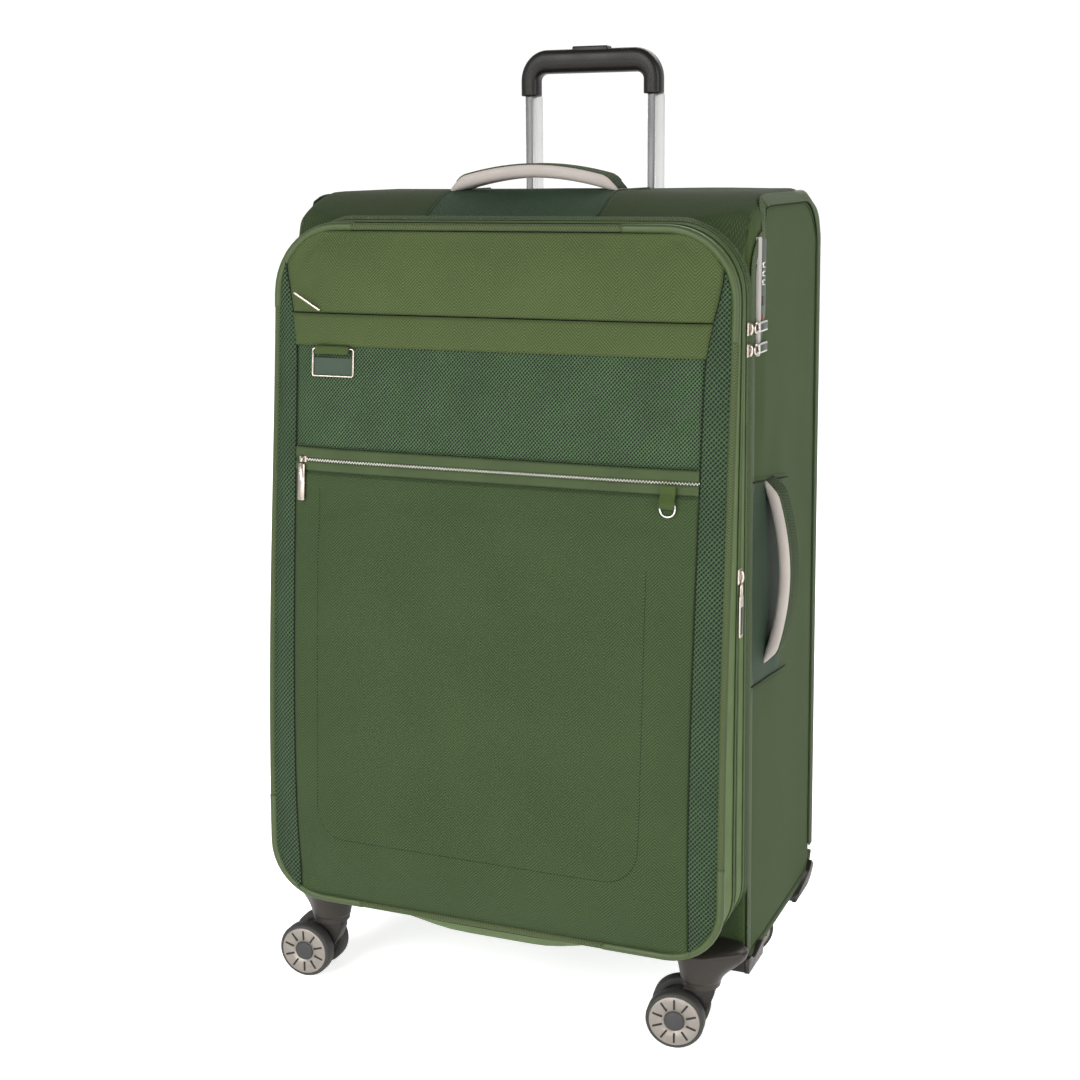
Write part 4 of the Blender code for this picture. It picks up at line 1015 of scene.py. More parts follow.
def build_lid():
    rim = [0.0, 0.03, 0.08, 0.14, 0.22, 0.30, 0.37, 0.42, SEAM - 0.012]
    rows = lid_rows([0.0], 0.0022, 0.0005) + lid_rows(rim, 0.0, 0.0005) + lid_rows([SEAM - 0.006], 0.0016)
    sheet("lid_rim_gusset", rows, GUSSET, "lid", None, True, ("lid_gusset",), True)
    sheet("lid_rim_lining", lid_rows([0.0, 0.15, 0.30, SEAM - 0.006], 0.0026), LINING, "lid", wrap=True)
    front = [SEAM + 0.012, 0.49, 0.55, 0.62, 0.70, 0.78, 0.86, 0.93, 0.985]
    rows = lid_rows([SEAM + 0.006], 0.0016) + lid_rows(front, 0.0)
    sheet("lid_front_gusset", rows, GUSSET, "lid_front", None, True, ("lid_front_shell",), True)
    # Lining of the front, closed over by the pockets' back wall.
    lining = lid_rows([SEAM + 0.006, 0.65, 0.85, 0.94], 0.0030)
    last = lining[-1]
    for share in (0.96, 0.8, 0.5, 0.2, 0.01, 0.0005):
        flat = [(x * share, LID_MIDDLE + (z - LID_MIDDLE) * share) for x, _, z in last]
        lining.append([(x, face_y(x, z) + 0.0045, z) for x, z in flat])
    sheet("lid_lining", lining, LINING, "lid_front", front_uv, wrap=True)
    # Cloth between the lid's two halves, built fixed in place on no body.
    strip = [lid_rows([SEAM], 0.0021, -offset)[0] for offset in np.linspace(0.0075, -0.0075, 16)]
    gusset = sheet("expansion_gusset", strip, GUSSET_DARK, None, None, True, (), True)
    low_y, high_y = (ZIP - front_depth(z) * SEAM for z in (LID_BASE, LID_TOP))
    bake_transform(gusset)
    # Expansion zip: two bound edges with a coil between them.
    for sign, body, label in ((-1, "lid", "rear"), (1, "lid_front", "front")):
        loop = resample(lid_loop(SEAM + sign * 0.052, -0.0004), 0.006, True)
        sweep("expansion_binding_" + label, loop, outward(loop), ribbon(0.0042, 0.0011), TAPE, body, True)
        loop = resample(lid_loop(SEAM + sign * 0.040, -0.0007), 0.006, True)
        stitches("expansion_stitch_" + label, loop, outward(loop), THREAD, body, closed=True)
    coil = resample(lid_loop(SEAM - 0.008, 0.0002), 0.004, True)
    stitches("expansion_coil", coil, outward(coil), COIL, "lid", (0.0016, 0.0009, 0.0030, 0.0009), 0.0006,
             True)


def build_main_zip():
    """The zip round the opening: a tape on each side and the meshed teeth between them."""
    loop = resample(lid_loop(0.075, -0.0002), 0.006, True)
    sweep("main_zip_tape_lid", loop, outward(loop), ribbon(0.0050, 0.0010), TAPE, "lid", True)
    loop = resample(rim_loop(ZIP + 0.0022, -0.0012), 0.006, True)
    out = outward(loop) * (1, 0, 1) + (0, -0.6, 0)
    sweep("main_zip_tape_case", loop, out, ribbon(0.0055, 0.0011), BRAID_DARK, "case", True)
    loop = resample(rim_loop(ZIP - 0.0006, 0.0004), 0.004, True)
    sweep("main_zip_chain", loop, outward(loop), circle(0.0013, 8), COIL, "lid", True)
    loop = resample(rim_loop(ZIP - 0.0008, -0.0006), 0.004, True)
    stitches("main_zip_teeth", loop, outward(loop), COIL, "lid", (0.0022, 0.0012, 0.0036, 0.0010), 0.0005,
             True)
    # Cloth hinge along the left-hand side.
    rows = [[(-flared(LID_HALF, z) - 0.0012 - 0.0010 * math.sin(math.pi * k / 8),
              ZIP + 0.008 - 0.016 * k / 8, z) for k in range(9)]
            for z in [HINGE_BASE + HINGE_LENGTH * j / 39 for j in range(40)]]
    strip = sheet("lid_hinge_cloth", rows, GUSSET_DARK, None)
    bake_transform(strip)


# Where the piping's moulded corners end: distance from the middle and height, for left and right.
TOP_CORNERS = ((0.142, 0.672), (0.120, 0.655))
BASE_CORNERS = ((0.132, 0.200), (0.118, 0.190))


def is_piping_corner(x, z):
    """The moulded corners reach a little further round on the right than on the left."""
    side = 0 if x < 0 else 1
    if z > LID_MIDDLE:
        distance, height = TOP_CORNERS[side]
        return abs(x) > distance and z > height
    distance, height = BASE_CORNERS[side]
    return abs(x) > distance and z < height


def build_piping():
    """Corded piping round the lid's front edge: smooth moulded corners, braided straights."""
    loop = resample(lid_loop(1.0, 0.0005), 0.004, True)
    count = len(loop)
    kinds = [is_piping_corner(x, z) for x, _, z in loop]
    start = next(i for i in range(count) if kinds[i] != kinds[i - 1])
    runs = [[start]]
    for i in [(start + i) % count for i in range(1, count)]:
        if kinds[i] == kinds[runs[-1][-1]]:
            runs[-1].append(i)
        else:
            runs.append([i])
    for run in runs:
        corner = kinds[run[0]]
        path = loop[[(run[0] - 1) % count] + run + [(run[-1] + 1) % count]]
        x, _, z = path.mean(0)
        label = "top" if z > LID_MIDDLE + 0.2 else "base" if z < LID_MIDDLE - 0.2 else "side"
        label += "_left" if x < -0.1 else "_right" if x > 0.1 else ""
        out = path * (1, 0, 1) + (0, -0.3, -LID_MIDDLE)
        name, radius, material = ("corner_", 0.0039, VINYL) if corner else ("braided_", 0.0034, BRAID)
        sweep(name + "piping_" + label, path + (0, 0.0008, 0), out, circle(radius, 14), material, "lid_front")
    # A dark line behind the piping: painted shadow.
    flange = resample(lid_loop(0.955, -0.0004), 0.006, True)
    sweep("piping_seam_shadow", flange, outward(flange), circle(0.0010, 6), PAINTED_SEAM_SHADOW, "lid_front", True)


def pad_height(x, z, half, low, high, rolls):
    """Padding of a front panel as a share: rolls up from its edges to an even height."""
    share = 1.0
    for distance, roll in zip((half - abs(x), z - low, high - z), rolls):
        share *= 1 - math.exp(-max(distance, 0) / roll)
    return share


def panel(name, low, high, half, height, lift, material, rows, columns, node, rolls, pucker=0.0, shape=None):
    """A padded front panel: its rows run across the lid between curved side edges."""
    grid = []
    for z in [low + (high - low) * j / rows for j in range(rows + 1)]:
        edge, row = half(z), []
        near = math.exp(-(z - low) / 0.02) + math.exp(-(high - z) / 0.02)
        for x in [(-1 + 2 * i / columns) * edge for i in range(columns + 1)]:
            rise = height * pad_height(x, z, edge, low, high, rolls)
            wave = math.sin(x * 260 + 2.5 * wander((x, 0, 0), 9.0, 1.0))
            rise += pucker * near * wave * (0.6 + wander((x, 0, z), 30.0))
            rise += 0.0010 * wander((x, 0, z), 11.0, 4.0) * min(1, rise / 0.001)
            row.append(front_point(x, z, lift + rise + (shape(x, z) if shape else 0)))
        grid.append(row)
    # A skirt turns back all round, so that the panel doesn't end in a bare edge.
    tuck = 0.0025
    grid = np.asarray(grid)
    grid = np.concatenate([grid[:1] + (0, tuck, 0.0006), grid, grid[-1:] + (0, tuck, -0.0006)])
    grid = np.concatenate([grid[:, :1] + (0.0004, tuck, 0), grid, grid[:, -1:] + (-0.0004, tuck, 0)], axis=1)
    return sheet(name, grid, material, "lid_front", front_uv, False, (node,))


SETTLING_FRAMES = 20
SKIRT_COLUMNS = 3  # what a panel's skirts and its closing edge add to its number of columns


def fill_out(obj, columns, pressure, cap, still):
    """Cloth simulation of a sewn panel: its borders stay, and what it covers presses it outwards.

    cap is the furthest that a point may move, and still is the width of the held border in rows.
    """
    mesh = obj.data
    rest = np.zeros(len(mesh.vertices) * 3)
    mesh.vertices.foreach_get("co", rest)
    rows = len(mesh.vertices) // columns
    held = obj.vertex_groups.new(name="sewn")
    for r in range(rows):
        for c in range(columns):
            edge = min(r, rows - 1 - r, c, columns - 1 - c)
            weight = 1.0 if edge <= 1 else 1 - (edge - 1) / still
            if weight > 0:
                held.add([r * columns + c], weight, "REPLACE")
    fill = obj.modifiers.new("fill", "CLOTH")
    rules = dict(quality=4, mass=0.25, tension_stiffness=18, compression_stiffness=18, shear_stiffness=6)
    rules.update(bending_stiffness=1.2, vertex_group_mass="sewn", shrink_min=-0.006)
    rules.update(use_pressure=True, uniform_pressure_force=pressure)
    for key, value in rules.items():
        setattr(fill.settings, key, value)
    fill.settings.effector_weights.gravity = 0
    fill.collision_settings.use_collision = False
    scene = bpy.context.scene
    scene.frame_start, scene.frame_end = 1, SETTLING_FRAMES
    fill.point_cache.frame_start, fill.point_cache.frame_end = 1, SETTLING_FRAMES
    for number in range(1, SETTLING_FRAMES + 1):
        scene.frame_set(number)
    settled = np.zeros_like(rest)
    obj.evaluated_get(bpy.context.evaluated_depsgraph_get()).data.vertices.foreach_get("co", settled)
    shift = (settled - rest).reshape(-1, 3)
    size = np.linalg.norm(shift, axis=1, keepdims=True)
    shift *= cap * np.tanh(size / cap) / np.maximum(size, 1e-9)
    obj.modifiers.clear()
    obj.vertex_groups.clear()
    scene.frame_set(1)
    mesh.vertices.foreach_set("co", rest + shift.ravel())
    mesh.update()


# The lower pocket's stiffener: a U with these centre lines for its round corners, and their radius.
U_LEFT, U_RIGHT, U_LOW, U_RADIUS = -0.140, 0.125, 0.205, 0.030


def pocket_swell(x, z):
    """The foot swells forwards, and the stiffener's edge shows through the cloth as a soft groove."""
    away = math.hypot(x - min(max(x, U_LEFT), U_RIGHT), z - max(z, U_LOW))
    groove = bell(away - U_RADIUS, 0.0018) if z < 0.46 or x < 0 else 0.0
    inside = smooth((STRIP - abs(x)) / 0.05) * smooth((z - LID_BASE - 0.004) / 0.03)
    return FOOT_SWELL * inside * bell(z - 0.165, 0.050) - 0.0006 * groove


def build_front():
    upper = panel("upper_pocket", SLIT + 0.0004, LID_TOP - 0.0045, inner_edge, 0.0060, 0.0012, TWILL, 34, 90,
                  "upper_pocket_panel", (0.020, 0.006, 0.030))
    fill_out(upper, 90 + SKIRT_COLUMNS, 4.0, 0.0030, 6)
    panel("pocket_band", BAND_BASE - 0.0016, SLIT - 0.0004, lambda z: inner_edge(z) + 0.0004, 0.0011, 0.0022,
          TWILL, 8, 90, "front_band", (0.002, 0.002, 0.004))
    panel("mesh_pocket", ZIP_Z + 0.0105, BAND_BASE + 0.002, lambda z: STRIP, 0.0012, 0.0006, NET, 24, 90,
          "front_mesh_panel", (0.006, 0.004, 0.006))
    # The lower pocket takes the twill copy painted darker as shade.
    lower = panel("lower_pocket", LID_BASE + 0.0045, ZIP_Z - 0.0100, inner_edge, 0.0022, 0.0008, TWILL_LOW_SHADED,
                  90, 110, "lower_pocket_panel", (0.010, 0.020, 0.004), 0.00018, pocket_swell)
    fill_out(lower, 110 + SKIRT_COLUMNS, 2.0, 0.0014, 8)
    for side, label in SIDES:
        rows = []
        for z in [0.108 + (0.7155 - 0.108) * j / 109 for j in range(110)]:
            inner = strip_inner(z) + 0.0008
            outer = max(outline_half(z) - 0.0030, inner + 0.0002)
            rises = [0.0010 + 0.0022 * math.sin(math.pi * min(i / 8 + 0.08, 1)) for i in range(9)]
            rows.append([front_point(side * (inner + (outer - inner) * i / 8), z, rises[i])
                         for i in range(9)])
        sheet("side_mesh_" + label, rows, NET_STRIP, "lid_front", front_uv, side < 0,
              ("side_mesh_strip_" + label,))
        # A dark line along each strip's inner edge: painted shadow at the seam.
        line = [front_point(side * (strip_inner(z) + 0.0003), z, 0.0013)
                for z in np.linspace(0.112, 0.715, 130)]
        sweep("strip_seam_shadow_" + label, line, FRONT, circle(0.0005, 6), PAINTED_SEAM_SHADOW, "lid_front")
    build_pocket_zip()
    build_front_stitching(lower)


def build_pocket_zip():
    xs = np.linspace(0.0005 - STRIP, STRIP - 0.0005, 120)
    for low, high, label in ((ZIP_Z + 0.0016, ZIP_Z + 0.0115, "upper"),
                             (ZIP_Z - 0.0105, ZIP_Z - 0.0016, "lower")):
        rows = []
        for z in np.linspace(low, high, 7):
            rise = 0.0012 + 0.0009 * min(1, min(z - low, high - z) / 0.0012)
            rows.append([front_point(x, z, rise) for x in xs])
        first, last = ([(x, y + 0.003, z) for x, y, z in row] for row in (rows[0], rows[-1]))
        rows = [first] + rows + [last]
        sheet("pocket_zip_tape_" + label, rows, POCKET_TAPE, "lid_front", front_uv)
    line = [front_point(x, ZIP_Z, 0.0006) for x in xs]
    sweep("pocket_zip_bed", line, FRONT, ribbon(0.0050, 0.0008), GUSSET_DARK, "lid_front")
    teeth = [front_point(x, ZIP_Z, 0.0013) for x in xs[3:]]
    stitches("pocket_zip_teeth", teeth, FRONT, SILVER, "lid_front", (0.00145, 0.00110, 0.0018, 0.0010),
             0.0005)


def laid_on(cloth_piece, path, lift):
    """Points of a seam drawn on the finished cloth: each (x, z) is dropped onto it from the front."""
    mesh = cloth_piece.data
    tree = BVHTree.FromPolygons([v.co for v in mesh.vertices], [p.vertices for p in mesh.polygons])
    hits = [tree.ray_cast(Vector((x, -1, z)) + OFFSET, Vector((0, 1, 0)))[0] for x, z in path]
    return [hit - OFFSET - Vector((0, lift, 0)) for hit in hits if hit]


def build_front_stitching(lower):
    xs = np.linspace(-STRIP + 0.004, STRIP - 0.004, 100)
    for seam, seam_z, seam_lift, radius, stitch, stitch_z, width in (
        ("mesh_hem", 0.0112, 0.0018, 0.0006, "mesh_hem_stitch", 0.0132, 0.0008),
        ("pocket_fold", -0.0098, 0.0012, 0.0007, "pocket_fold_stitch", -0.0125, 0.0007),
    ):
        line = [front_point(x, ZIP_Z + stitch_z, 0.0022) for x in xs]
        stitches(stitch, line, FRONT, THREAD, "lid_front", (0.0036, 0.0026, width, 0.0006))
        # Each seam also gets a thin line of the darker gusset cloth: painted shade along the hem and the
        # fold.
        line = [front_point(x, ZIP_Z + seam_z, seam_lift) for x in xs]
        sweep(seam, line, FRONT, circle(radius, 8), GUSSET_DARK, "lid_front")
    left, right, base = U_LEFT - U_RADIUS, U_RIGHT + U_RADIUS, U_LOW - U_RADIUS
    path = [(left, z) for z in np.linspace(0.505, 0.206, 40)] + arc(U_LEFT, U_LOW, U_RADIUS, 180, 270, 10)
    path += [(x, base) for x in np.linspace(-0.136, 0.122, 30)] + arc(U_RIGHT, U_LOW, U_RADIUS, 270, 360, 10)
    path += [(right, z) for z in np.linspace(0.208, 0.455, 30)]
    line = resample(laid_on(lower, path, 0.0001), 0.005)
    # The U's dashes are drawn in the shadow cloth: painted shade along the stitched groove.
    stitches("pocket_u_stitch", line, FRONT, PAINTED_SEAM_SHADOW, "lid_front", (0.0032, 0.0020, 0.0006, 0.0003))


# Small hardware


def build_badge():
    """A blank plate in a metal frame, hung from a short webbing loop."""
    low, high, middle = design_box("badge_plate")
    half_w, half_h = (high.x - low.x) / 2, (high.z - low.z) / 2
    lean = (face_y(middle.x, middle.z + 0.01) - face_y(middle.x, middle.z - 0.01)) / 0.02

    def at(x, z, lift):
        return (middle.x + x, face_y(middle.x, middle.z) + lean * z - lift, middle.z + z)

    ring = [at(x, z, 0.0036) for x, z in rounded_rectangle(half_w - 0.0009, half_h - 0.0009, 0.0015, 4)]
    sweep("badge_frame", resample(ring, 0.0012, True), FRONT, circle(0.0009, 10, 1.1), ROSE, "lid_front",
          True, replaces=("badge_plate",))
    rows = [[at(x, z, 0.0028) for x in np.linspace(-half_w + 0.001, half_w - 0.001, 6)]
            for z in np.linspace(-half_h + 0.001, half_h * 0.30, 5)]
    sheet("badge_blank", rows, INLAY, "lid_front", front_uv)
    strap = [at(-half_w + 0.0045 + (2 * half_w - 0.0095) * i / 10, half_h - 0.0022, 0.0034)
             for i in range(11)]
    sweep("badge_loop", strap, (0, -1, 0.2), ribbon(0.0075, 0.0030, 5), STRAP, "lid_front")
    line = [at(-half_w + 0.005 + (2 * half_w - 0.0105) * i / 10, half_h - 0.0072, 0.0040) for i in range(11)]
    stitches("badge_loop_stitch", line, FRONT, THREAD, "lid_front", (0.0020, 0.0012, 0.0006, 0.0005))


def build_d_ring():
    _, high, middle = design_box("d_ring_loop")
    ring_low, ring_high, ring_middle = design_box("d_ring")
    x, y, back = middle.x, ring_middle.y, high.y
    pivot = ring_high.z - 0.0011
    # The webbing comes down the front, round the ring's straight side and up again behind it.
    strap = [(back - 0.0008, high.z + 0.004), (back - 0.0014, high.z - 0.004), (y - 0.0018, pivot + 0.0024)]
    strap += [(y - 0.0024, pivot), (y - 0.0014, pivot - 0.0022), (y + 0.0006, pivot - 0.0026)]
    strap += [(y + 0.0018, pivot - 0.0012), (back - 0.0004, pivot + 0.003)]
    strap = resample([(x, at_y, at_z) for at_y, at_z in strap], 0.0015)
    sweep("d_ring_webbing", strap, (0, -1, 0.02), ribbon(0.0138, 0.0012), STRAP, "lid_front",
          replaces=("d_ring_loop",))
    half = (ring_high.x - ring_low.x) / 2 - 0.0030
    path = [(x + share * half, y, pivot) for share in (-1, -0.5, 0, 0.5, 1)]
    path += [(x + px, y, pivot - 0.0035 + pz) for px, pz in arc(0, 0, half + 0.0003, 8, -188, 24)]
    sweep("d_ring_wire", resample(path, 0.0012, True), FRONT, circle(0.0009, 10), SILVER, "d_ring", True,
          replaces=("d_ring",))


def build_slider(node, out, pull):
    """A zip slider: a tapered body and the raised bridge that its pull hangs from."""
    low, high, centre = design_box(node)
    out, pull = Vector(out), Vector(pull)
    across = out.cross(pull)
    half_pull, half_across, half_depth = (abs((high - low).dot(way)) / 2 for way in (pull, across, out))
    depth = 2 * half_depth
    base = centre - out * half_depth
    ring = [(-half_across, -half_pull), (half_across, -half_pull), (half_across, half_pull),
            (-half_across, half_pull)]
    points = [base + across * a * taper + pull * b * taper + out * rise
              for rise, taper in ((0.0, 1.0), (depth * 0.42, 0.86)) for a, b in ring]
    faces = [(3, 2, 1, 0), (4, 5, 6, 7), (0, 1, 5, 4), (1, 2, 6, 5), (2, 3, 7, 6), (3, 0, 4, 7)]
    uvs = [(p[0] + p[1], p[2]) for p in points]
    round_edges(build(node + "_body", points, faces, uvs, ROSE, node, None, (node,)), 0.00045, 2, sharp=False)
    bridge = []
    for t in [math.pi * i / 8 for i in range(9)]:
        rise = depth * 0.38 + depth * 0.62 * math.sin(t)
        bridge.append(base + pull * (-half_pull * 0.75 * math.cos(t)) + out * rise)
    wire = circle(min(half_across * 0.34, 0.0012), 8)
    sweep(node + "_body_bridge", bridge, across, wire, ROSE, node)


def build_eye(name, centre, half_y, half_z, body):
    """A small wire ring that faces sideways."""
    path = np.asarray(centre) + [(0, half_y * math.cos(t), half_z * math.sin(t)) for t in ray_turns(28)]
    sweep(name, path, RIGHT, circle(0.0010, 8), ROSE, body, True)


def build_pulls():
    build_slider("pocket_slider", FRONT, (0, 0, -1))
    refined("pocket_pull_tab", ROSE)
    low, high, _ = design_box("slit_pocket_pull")
    bar = [(low.x + 0.001, low.y - 0.0017, high.z - 0.0008), (high.x - 0.001, low.y - 0.0017, low.z + 0.0008)]
    sweep("slit_pull_bar", resample(bar, 0.002), FRONT, circle(0.0011, 10, 0.7), ROSE, "slit_pocket_pull",
          replaces=("slit_pocket_pull",))
    for label in ("upper", "lower"):
        body = "main_pull_tab_" + label
        build_slider("main_slider_" + label, RIGHT, UP)
        low, high, middle = design_box(body)
        x, z = middle.x, middle.z
        build_eye("main_slider_%s_ring" % label, (x - 0.0002, low.y + 0.0050, z), 0.0062, 0.0040, body)
        box_piece(body + "_plate", about(x, 0.0011), (low.y + 0.0105, high.y), about(z, 0.0044), SILVER, body,
                  0.0008, 3, (body,))
        box_piece(body + "_inlay", (x + 0.0006, x + 0.00135), (low.y + 0.0135, high.y - 0.0015),
                  about(z, 0.0030), LOCK_FACE, body, 0.0003)
    body = "expansion_pull_tab"
    build_slider("expansion_slider", RIGHT, (0, 0, -1))
    low, high, middle = design_box(body)
    x, y = middle.x, middle.y
    build_eye("expansion_pull_eye", (x, y, high.z - 0.0045), 0.0024, 0.0062, body)
    ring = [(x, y + a, low.z + 0.0190 + b) for a, b in rounded_rectangle(0.0040, 0.0185, 0.0012, 4)]
    sweep("expansion_pull_frame", resample(ring, 0.0012, True), RIGHT, circle(0.0010, 8), ROSE, body, True,
          replaces=(body,))
    box_piece("expansion_pull_plate", about(x, 0.0007), about(y, 0.0038), (low.z + 0.0012, low.z + 0.0370),
              SILVER, body, 0.0004)
    box_piece("expansion_pull_inlay", (x + 0.0003, x + 0.0011), (y - 0.0030, y + 0.0034),
              (low.z + 0.0022, low.z + 0.0270), INLAY, body, 0.0003)


def build_lock():
    low, high, _ = design_box("lock_body")
    split = low.y + 0.0072
    inside = high.x - 0.006
    box_piece("lock_bar", (inside, high.x + 0.0004), (low.y, split), (low.z, high.z), LOCK_BAR, "case",
              0.0016, 4, ("lock_body",))
    box_piece("lock_plate", (inside, high.x - 0.0006), (split - 0.001, high.y),
              (low.z + 0.002, high.z - 0.002), LOCK_FACE, "case", 0.0014, 3)
    for node in ("lock_dial_1", "lock_dial_2", "lock_dial_3"):
        dial_low, dial_high, centre = design_box(node)
        radius, half = (dial_high.y - dial_low.y) / 2, (dial_high.z - dial_low.z) / 2
        profile = [(0, half), (radius * 0.93, half), (radius, half * 0.7)]
        profile += [(r, -h) for r, h in profile[::-1]]
        lathe(node + "_wheel", profile, centre, UP, SILVER, node, 20, (node,))
        out = np.asarray([(radius * math.cos(t), radius * math.sin(t), 0) for t in ray_turns(20)])
        stitches(node + "_ridges", out + centre, out, PLASTIC, node, (0.0012, 0.0005, half * 1.5, 0.0003),
                 0.0, True)
    refined("lock_button", PLASTIC)
    mark = (high.x - 0.0004, design_box("lock_button")[2].y, low.z + 0.034)
    dot = [(0.0, 0.0006), (0.0012, 0.0006), (0.0015, 0.0), (0.0015, -0.001)]
    lathe("lock_mark", dot, mark, RIGHT, RED, "case", 16)


# Trolley handle


def build_trolley():
    for side in ("left", "right"):
        for stage in ("inner", "middle"):
            tube = refined("%s_tube_%s" % (stage, side), TUBE, 0.0009, 3)
            # Faces that look straight to the front take the near-black copy: painted shade.
            tube.data.materials.append(TUBE_FRONT_SHADE)
            for face in tube.data.polygons:
                if face.normal.y < -0.9:
                    face.material_index = 1
    refined("trolley_well", PLASTIC, 0.0012, 3)
    refined("trolley_foot", PLASTIC, 0.0010)
    build_grip()
    refined("grip_button", PLASTIC, 0.0012, 3)


def build_grip():
    """The grip: two legs, round corners and a slightly thicker bar, all of one squarish section."""
    low, high, middle = design_box("grip")
    leg, bar, radius, half_depth, squareness = 0.0186, 0.0232, 0.0185, 0.0098, 3.2
    x = (low.x - high.x) / 2 + leg / 2
    y, bar_z = middle.y, high.z - bar / 2
    spots = [(x, low.z + (high.z - 0.034 - low.z) * i / 9, leg) for i in range(9)]
    for i in range(13):
        t = math.pi - math.pi / 2 * i / 12
        width = leg + (bar - leg) * smooth(i / 12)
        spots.append((x + radius + radius * math.cos(t), bar_z - radius + radius * math.sin(t), width))
    spots += [((x + radius) * (1 - i / 16), bar_z, bar) for i in range(1, 16)]
    spots += [(-x, z, width) for x, z, width in spots[::-1]]
    path = np.asarray([(x, y, z) for x, z, _ in spots])
    section = []
    for a in ray_turns(28) + [2 * math.pi]:
        r = (abs(math.cos(a)) ** squareness + abs(math.sin(a)) ** squareness) ** (-1 / squareness)
        section.append((math.cos(a) * r, math.sin(a) * r))
    grid = []
    for p, along, (_, _, width) in zip(path, tangents(path, False), spots):
        inward = np.cross(along, (0, 1.0, 0))
        grid.append([p + inward * a * width / 2 + np.array([0, b * half_depth, 0]) for a, b in section])
    caps = []
    for end in (np.asarray(grid[0]), np.asarray(grid[-1])):
        caps.append([end * share + end.mean(0) * (1 - share) + (0, 0, -0.0007) for share in (0.0, 0.94)])
    grid = np.concatenate([caps[0], grid, caps[1][::-1]])
    sheet("trolley_grip", grid, PLASTIC_GRIP, "trolley_inner", replaces=("grip",))
    for side, label in ((-1, "front"), (1, "back")):
        line = path + (0, side * 0.00975, 0)
        sweep("grip_parting_line_" + label, line, (0, side, 0), circle(0.00022, 6), PLASTIC, "trolley_inner")


# Casters


def axle(joint_name):
    """A turning joint's place and axis in design coordinates."""
    found = next(j for j in frame["joints"] if j["name"] == joint_name)
    return Vector(found["pos_m"]) - OFFSET, Vector(found["axis"])


def build_wheel(node):
    hub, axis = axle(node + "_spin")
    first_wheel = node.endswith("_a")
    if first_wheel:
        axis = -axis
    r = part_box(node)[1].z / 2
    outer, inner = 0.0238, 0.0092
    tyre = [(r - 0.0060, inner), (r - 0.0026, inner), (r - 0.0008, inner + 0.0008), (r, inner + 0.0024)]
    tyre += [(r, outer - 0.0030), (r - 0.0006, outer - 0.0014), (r - 0.0018, outer - 0.0004),
             (r - 0.0030, outer)]
    tyre += [(r - 0.0034, outer - 0.0006)]
    disc = [(r - 0.0033, outer - 0.0010), (r - 0.0037, outer - 0.0001), (r - 0.0044, outer + 0.0002)]
    disc += [(0.0160, outer - 0.0001), (0.0098, outer - 0.0006), (0.0094, outer - 0.0012)]
    cap = [(0.0095, outer - 0.0014), (0.0093, outer - 0.0001), (0.0086, outer + 0.0004)]
    cap += [(0.0040, outer + 0.0006), (0.0, outer + 0.0006)]
    web = [(r - 0.0058, inner), (r - 0.0062, inner + 0.0045), (0.0078, inner + 0.0045), (0.0066, inner)]
    web.append((0.0024, inner))
    lathe(node + "_tyre", tyre, hub, axis, TYRE, node, 64, (node,))
    lathe(node + "_disc", disc, hub, axis, DISC, node, 64)
    lathe(node + "_cap", cap, hub, axis, HUB, node, 40)
    lathe(node + "_web", web, hub, axis, HUB, node, 48)
    first = axis.cross(Vector(UP)).normalized()
    second = axis.cross(first)
    # Ten dark slots in the cover.
    outline = [(0.0120, -0.5), (0.0116, 0), (0.0120, 0.5), (0.0212, 0.55), (0.0216, 0), (0.0212, -0.55)]
    points, faces = [], []
    for t in ray_turns(10, 0.5):
        ray = first * math.cos(t) + second * math.sin(t)
        base = len(points)
        for rise in (0.00035, -0.0015):
            middle, side = hub + axis * (outer + rise), axis.cross(ray) * 0.0017
            points += [middle + ray * reach + side * w for reach, w in outline]
        faces.append(tuple(base + k for k in range(6))[::-1])
        faces += [(base + k, base + (k + 1) % 6, base + 6 + (k + 1) % 6, base + 6 + k) for k in range(6)]
    build(node + "_slots", points, faces, outline * 20, PLASTIC, node, slot="tyre", flat=True)
    if first_wheel:
        for number, t in enumerate(ray_turns(8)):
            ray = first * math.cos(t) + second * math.sin(t)
            spoke = [hub + axis * (inner + 0.003) + ray * reach for reach in (0.0065, 0.014, r - 0.006)]
            sweep("%s_spoke_%d" % (node, number + 1), spoke, axis, circle(0.0012, 6), HUB, node)


def build_cowl(corner, side):
    """Moulded shoulder that carries a front turret's flank up into the guard behind it."""
    axis, _ = axle("swivel_" + corner)
    low, high, back = 0.0630, 0.0915, ZIP + 0.014
    rings = []
    for t in [j / 12 for j in range(13)]:
        radius = 0.0190 + 0.0052 * t
        spread = smooth(t * 1.15)
        ring = []
        for a in ray_turns(48) + [2 * math.pi]:
            ray_x, ray_y = math.cos(a), math.sin(a)
            reach = max(0.0, side * ray_x) ** 2 * 0.0200 * spread * max(0.0, ray_y + 0.75)
            y = axis.y + ray_y * radius + (back - axis.y - radius) * max(0.0, ray_y) ** 2 * spread
            ring.append((axis.x + ray_x * radius + side * reach, y, low + (high - low) * t))
        rings.append(np.asarray(ring))
    foot, top = rings[0], rings[-1]
    for share, rise in ((0.94, 0.0016), (0.75, 0.0030), (0.4, 0.0036), (0.02, 0.0038)):
        rings.append(top.mean(0) + (top - top.mean(0)) * share + (0, 0, rise))
    sheet("caster_cowl_" + corner, [foot + (foot.mean(0) - foot) * 0.06] + rings, PLASTIC_TURRET, "case")


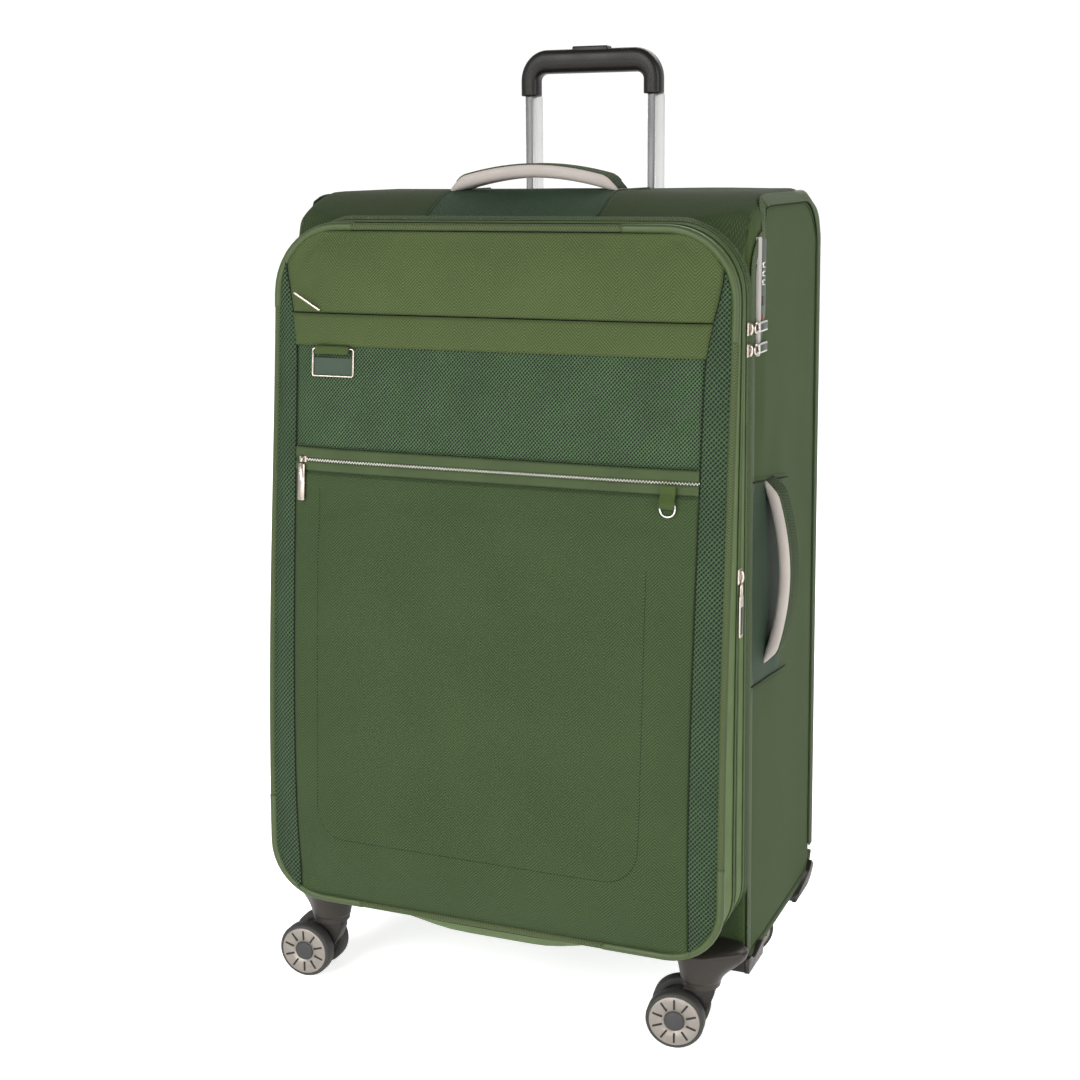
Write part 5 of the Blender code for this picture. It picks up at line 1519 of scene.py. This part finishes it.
def build_casters():
    build_cowl("front_left", -1)
    build_cowl("front_right", 1)
    rivet = [(0.0, 0.0010), (0.0018, 0.0009), (0.0027, 0.0003), (0.0028, -0.001)]
    for corner in ("front_left", "front_right", "rear_left", "rear_right"):
        refined("caster_housing_" + corner, PLASTIC_TURRET, 0.0016, 3, 40)
        refined("fork_" + corner, PLASTIC, 0.0010, 3, 40)
        refined("axle_" + corner, STEEL, 0.0003)
        for label in "ab":
            build_wheel("wheel_%s_%s" % (corner, label))
        hub, axis = axle("wheel_%s_a_spin" % corner)
        for sign, label in ((-1, "a"), (1, "b")):
            centre = hub + axis * sign * 0.0071 + Vector((0, 0, 0.012))
            lathe("fork_rivet_%s_%s" % (corner, label), rivet, centre, axis * sign, STEEL, "caster_" + corner,
                  20)


# Floor, light and camera


def area_light(name, place, aim, size, power):
    data = bpy.data.lights.new(name, "AREA")
    data.shape = "RECTANGLE"
    data.size, data.size_y = size
    data.energy = power
    obj = linked(name, data)
    obj.location = place
    obj.rotation_euler = (Vector(aim) - Vector(place)).to_track_quat("-Z", "Y").to_euler()


def build_stage():
    mesh = bpy.data.meshes.new("floor")
    size = 14.0
    mesh.from_pydata([(-size, -size, 0), (size, -size, 0), (size, size, 0), (-size, size, 0)], [],
                     [(0, 1, 2, 3)])
    s = Shader("floor_white")
    s.set(Base_Color=(0.93, 0.93, 0.93), Roughness=0.8, Specular_IOR_Level=0.2)
    s.set(Emission_Color=(1.0, 1.0, 1.0), Emission_Strength=0.62)
    mesh.materials.append(s.material)
    linked("floor", mesh)
    # The sky is brighter towards the horizon than overhead.
    world = bpy.data.worlds.new("studio")
    bpy.context.scene.world = world
    world.use_nodes = True
    tree = world.node_tree
    background = tree.nodes["Background"]
    split = tree.nodes.new("ShaderNodeSeparateXYZ")
    tree.links.new(tree.nodes.new("ShaderNodeTexCoord").outputs["Generated"], split.inputs[0])
    fade = tree.nodes.new("ShaderNodeMapRange")
    for socket, value in zip(list(fade.inputs)[1:5], (0.10, 0.85, 1.05, 0.30)):
        socket.default_value = value
    tree.links.new(split.outputs[2], fade.inputs[0])
    tree.links.new(fade.outputs[0], background.inputs[1])
    background.inputs[0].default_value = (1.0, 1.0, 1.0, 1)
    area_light("key", (-0.9, -2.8, 1.9), (0, 0, 0.45), (1.8, 1.6), 98)
    area_light("side", (2.6, -1.2, 1.3), (0.1, 0, 0.45), (1.4, 1.8), 48)
    area_light("back", (0.3, 2.4, 2.6), (0, 1.2, 0.0), (2.6, 1.6), 60)
    area_light("low", (0.3, -2.2, 0.25), (0, 0, 0.25), (1.6, 0.4), 12)
    area_light("foot", (0.0, -1.0, 0.04), (0, -0.14, 0.13), (1.3, 0.12), 3.2)


def build_camera():
    """The photograph's camera: where it stood, its heading, pitch and roll, and its focal length."""
    heading, pitch, roll = math.radians(22.83), math.radians(12.44), math.radians(-0.561)
    forward = Vector((-math.sin(heading) * math.cos(pitch), math.cos(heading) * math.cos(pitch),
                      -math.sin(pitch)))
    right = Vector((math.cos(heading), math.sin(heading), 0))
    up = right.cross(forward)
    row = right * math.cos(roll) + up * math.sin(roll)
    column = -right * math.sin(roll) + up * math.cos(roll)
    place = Vector((0.63865, -1.54092, 0.80789)) + OFFSET
    data = bpy.data.cameras.new("camera")
    data.sensor_width = 36
    data.lens = 58.05
    data.clip_start = 0.01
    camera = linked("camera", data)
    camera.matrix_world = Matrix((row, column, -forward)).transposed().to_4x4()
    camera.matrix_world.translation = place
    bpy.context.scene.camera = camera


build_case()
build_case_trim()
build_inserts()
build_handles()
build_lid()
build_main_zip()
build_piping()
build_front()
build_badge()
build_d_ring()
build_pulls()
build_lock()
build_trolley()
build_casters()
for node, material in (("outer_tube_left", TUBE), ("outer_tube_right", TUBE), ("back_board", PLASTIC)):
    frame["nodes"][node].data.materials.clear()
    frame["nodes"][node].data.materials.append(material)
build_stage()
build_camera()
bpy.context.scene.view_settings.view_transform = "Standard"
